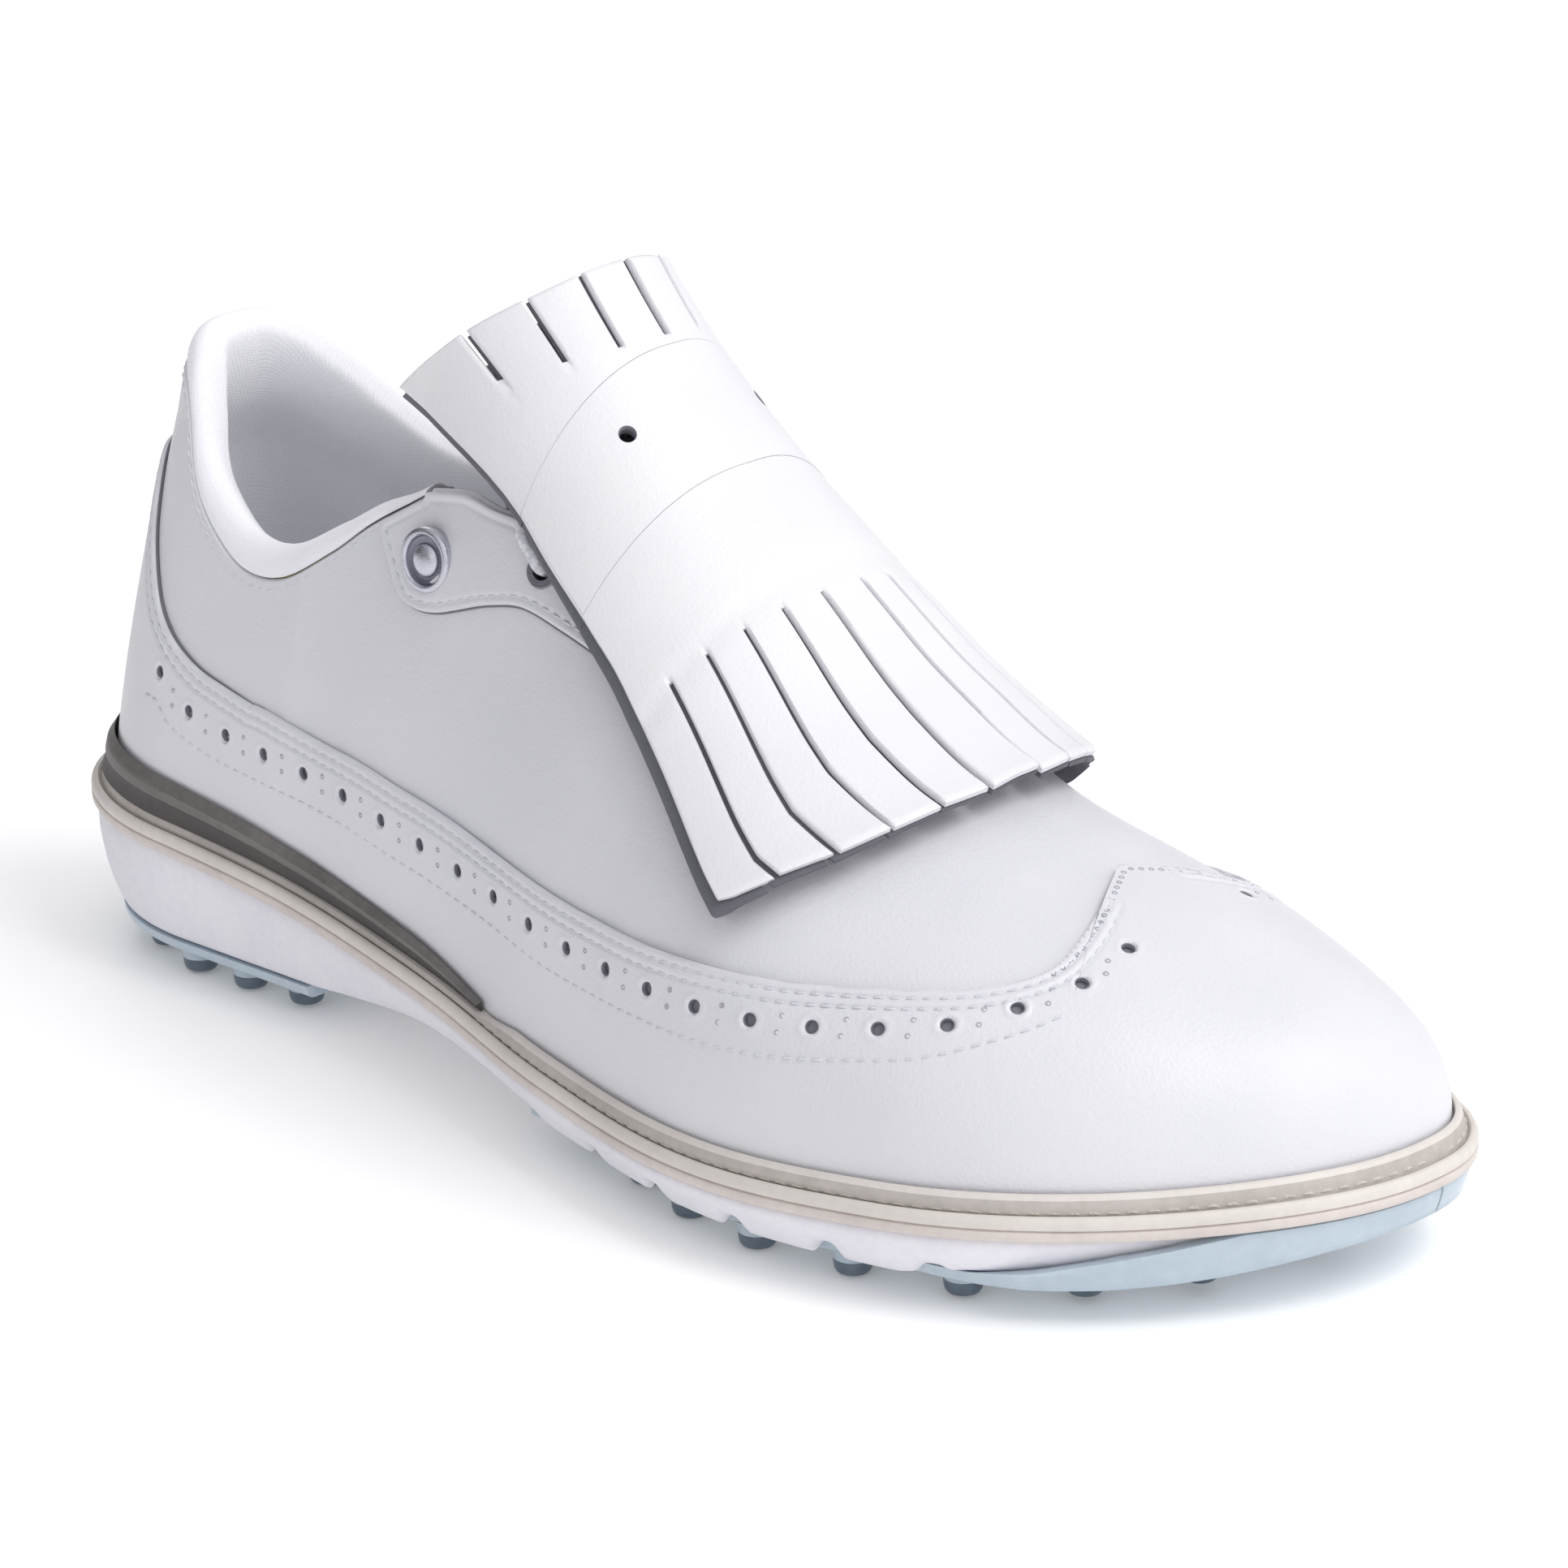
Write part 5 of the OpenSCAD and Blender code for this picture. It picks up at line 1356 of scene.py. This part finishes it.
def leaf(name, w, x, keep, inner, outer, lift, materials, round_r, relief, flush, backing):
    """A closed leather leaf over a grid. keep says which cells exist and flush says which end
    rows meet the next leaf. A backing is a little wider and deeper than the face over it, so that
    its dark rim stands in as painted shade under the kiltie's raised edge."""
    k, n = x.shape
    side = np.where(w <= 0, -1.0, 1.0)[None]
    ww = np.where(np.abs(w) < 1e-4, 0, w)[None]
    # the backing reaches past the face, more towards the apron, as a rim of painted shade
    shade_margin = (0.012 + 0.022 * np.clip((x - 125) / 58, 0, 1)) * (1 if backing else 0)
    p, m = skin_parts(side, share(x), across_s(ww, curve(KILTIE_EDGE, x) - shade_margin))
    cells_there = np.zeros((k + 1, n + 1), bool)
    cells_there[1:k, 1:n] = keep
    there = cells_there.copy()
    for row in flush:
        there[row, 1:n] = keep[row]
    # a point is on the rim if one of its four cells is missing
    corners = [there[:-1, :-1], there[1:, :-1], there[:-1, 1:], there[1:, 1:]]
    rim = np.logical_or.reduce(corners) & ~np.logical_and.reduce(corners)
    mid = p + m * outer
    _, d = nearest(mid, mid[rim])
    drop = edge_round(d, round_r)
    wave = relief(x, p)
    top = p + m * (outer + lift - drop + wave)[..., None]
    # near the side edges the backing drops deeper, which widens that painted shade
    shade_drop = (0.9 if backing else 0) * np.clip((np.abs(w) - 0.9) / 0.08, 0, 1)[None]
    low = p + m * (inner - shade_drop + lift + drop * 0.4 + wave)[..., None]
    ids = np.arange(k * n).reshape(k, n)
    a, b, c, e = ids[:-1, :-1], ids[1:, :-1], ids[1:, 1:], ids[:-1, 1:]
    back = k * n
    faces = [np.stack([a[keep], b[keep], c[keep], e[keep]], -1),
             np.stack([a[keep], e[keep], c[keep], b[keep]], -1) + back]
    for (di, dj, p0, p1) in ((0, -1, a, b), (0, 1, e, c), (-1, 0, a, e), (1, 0, b, c)):
        r = keep & ~cells_there[1 + di:k + di, 1 + dj:n + dj]
        faces.append(np.stack([p0[r], p1[r], p1[r] + back, p0[r] + back], -1))
    return build(name, np.concatenate([top.reshape(-1, 3), low.reshape(-1, 3)]),
                 np.concatenate(faces), materials, sharp=50)


def strip_lift(strip, local, t, seed, amount):
    """Each strip stands or leans a little differently, more towards its tip."""
    rng = random.Random(seed)
    n = int(strip.max()) + 1
    stand = np.array([rng.uniform(-0.25, 1.0) for _ in range(n)]) * amount
    lean = np.array([rng.uniform(-1, 1) for _ in range(n)]) * amount * 0.8
    f = t * t
    return f * (stand[strip][None] + lean[strip][None] * (local[None] - 0.5) * 2)


def wavy(seed):
    return lambda x, p: 0.08 * waves(p, 30, seed)


def kiltie_layers(part, body, w, x, keep, lift, relief, flush, suede_r=0.15, holes=False):
    """The white leather face of one part of the kiltie, and the grey suede backing under it, whose
    near-black tone and wider rim also stand in as painted shade.
    """
    for layer, node, inner, outer, material, slot, round_r in (
            ("_face", "", FACE_IN - 0.2, FACE_OUT, WHITE_KILTIE, "white_leather", 0.4),
            ("_suede", "_backing", BACKING_IN, BACKING_OUT + 0.05, SUEDE_AND_SHADE, "grey_backing",
             suede_r)):
        materials = [material, HOLE_SHADE] if holes else [material]
        obj = leaf(part + layer, w, x, keep, inner, outer, lift, materials, round_r, relief,
                   flush, layer == "_suede")
        if holes:
            cut(obj, saddle_cutters(material))
        piece(obj, body, slot, part + node)


def saddle_cutters(material):
    """Cutters for the two holes that the lace comes through."""
    w, x = np.array([-0.44, 0.44]), 131.2
    p, n = skin_parts(np.sign(w), share(x), across_s(w, curve(KILTIE_EDGE, x)))
    # the lower bore of each lace hole carries painted shade
    prof = [[0, 0], [1.35, 0], [1.35, 3.0], [1.6, 3.4], [1.7, 6], [0, 6]]
    return lathes("cutter", p + n * 7, n, prof, [material, HOLE_SHADE], 28,
                  np.array([1, 1, 1, 0, 0]))


def make_apron():
    strips = 11
    w, strip, local = strip_columns(strips, 0.10)
    rng = random.Random(4)
    front = 183.5 + 22.8 * (1 - np.abs(w) ** 1.6)
    front = front + np.array([rng.uniform(-0.5, 0.5) for _ in range(strips)])[strip]
    front = np.minimum(front, 206.3)
    root = 162.5 - 5.0 * np.abs(w) ** 2
    f1 = np.linspace(0, 1, 26)[:, None]
    f2 = np.linspace(0, 1, 44)[1:, None]
    x = np.vstack([APRON_SPLIT + (root[None] - APRON_SPLIT) * f1,
                   root[None] + (front[None] - root[None]) * f2])
    t = np.vstack([0 * f1, f2]) + 0 * w[None]
    keep = np.ones((len(x) - 1, len(w) - 1), bool)
    keep[len(f1) - 1:, strip[1:] != strip[:-1]] = False

    def crease(x, p):
        return -0.2 * dent(x, 159.5, 1.6) + 0.10 * waves(p, 30, 21)
    kiltie_layers("kiltie_apron", "kiltie_apron", w, x, keep,
                  strip_lift(strip, local, t, 11, 0.45), crease, (0,))


def make_top():
    w, strip, local = strip_columns(8, 0.10)
    back = 112.8 - 18.7 * np.abs(w) ** 2.6
    root = 122.6 - 21 * np.abs(w) ** 2.4
    f1 = np.linspace(0, 1, 34)[:, None]
    f2 = np.linspace(0, 1, 6)[1:, None]
    x = np.vstack([back[None] + (root - back)[None] * f1,
                   root[None] + (TONGUE_SPLIT - root)[None] * f2])
    t = np.vstack([1 - f1, 0 * f2]) + 0 * w[None]
    keep = np.ones((len(x) - 1, len(w) - 1), bool)
    keep[:len(f1) - 1, strip[1:] != strip[:-1]] = False
    kiltie_layers("kiltie_top", "kiltie_top", w, x, keep, strip_lift(strip, local, t, 5, 0.4),
                  wavy(22), (-1,))


def make_saddle():
    w = np.unique(np.concatenate([np.linspace(-1, 1, 121), [-0.985, -0.97, 0.97, 0.985]]))
    x = np.linspace(TONGUE_SPLIT + 0.06, APRON_SPLIT - 0.06, 40)[:, None] + 0 * w[None]
    keep = np.ones((len(x) - 1, len(w) - 1), bool)
    kiltie_layers("kiltie_saddle", "shoe", w, x, keep, 0 * x, wavy(23), (0, -1), 0.4, True)


for make in (make_vamp, make_quarters, make_wing, make_eyestays, make_button, make_collar,
             make_vamp_lining, make_footbed, make_midsole, make_outsoles, make_welt, make_rand,
             make_tongue, make_lace, make_apron, make_top, make_saddle):
    make()

for node, material in (("shank", STEEL), ("insole_board", FIBRE), ("heel_counter", STIFF),
                       ("toe_puff", STIFF), ("collar_pad", PAD), ("eyelets", EYELET)):
    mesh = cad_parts[node].data
    mesh.materials.clear()
    mesh.materials.append(material)
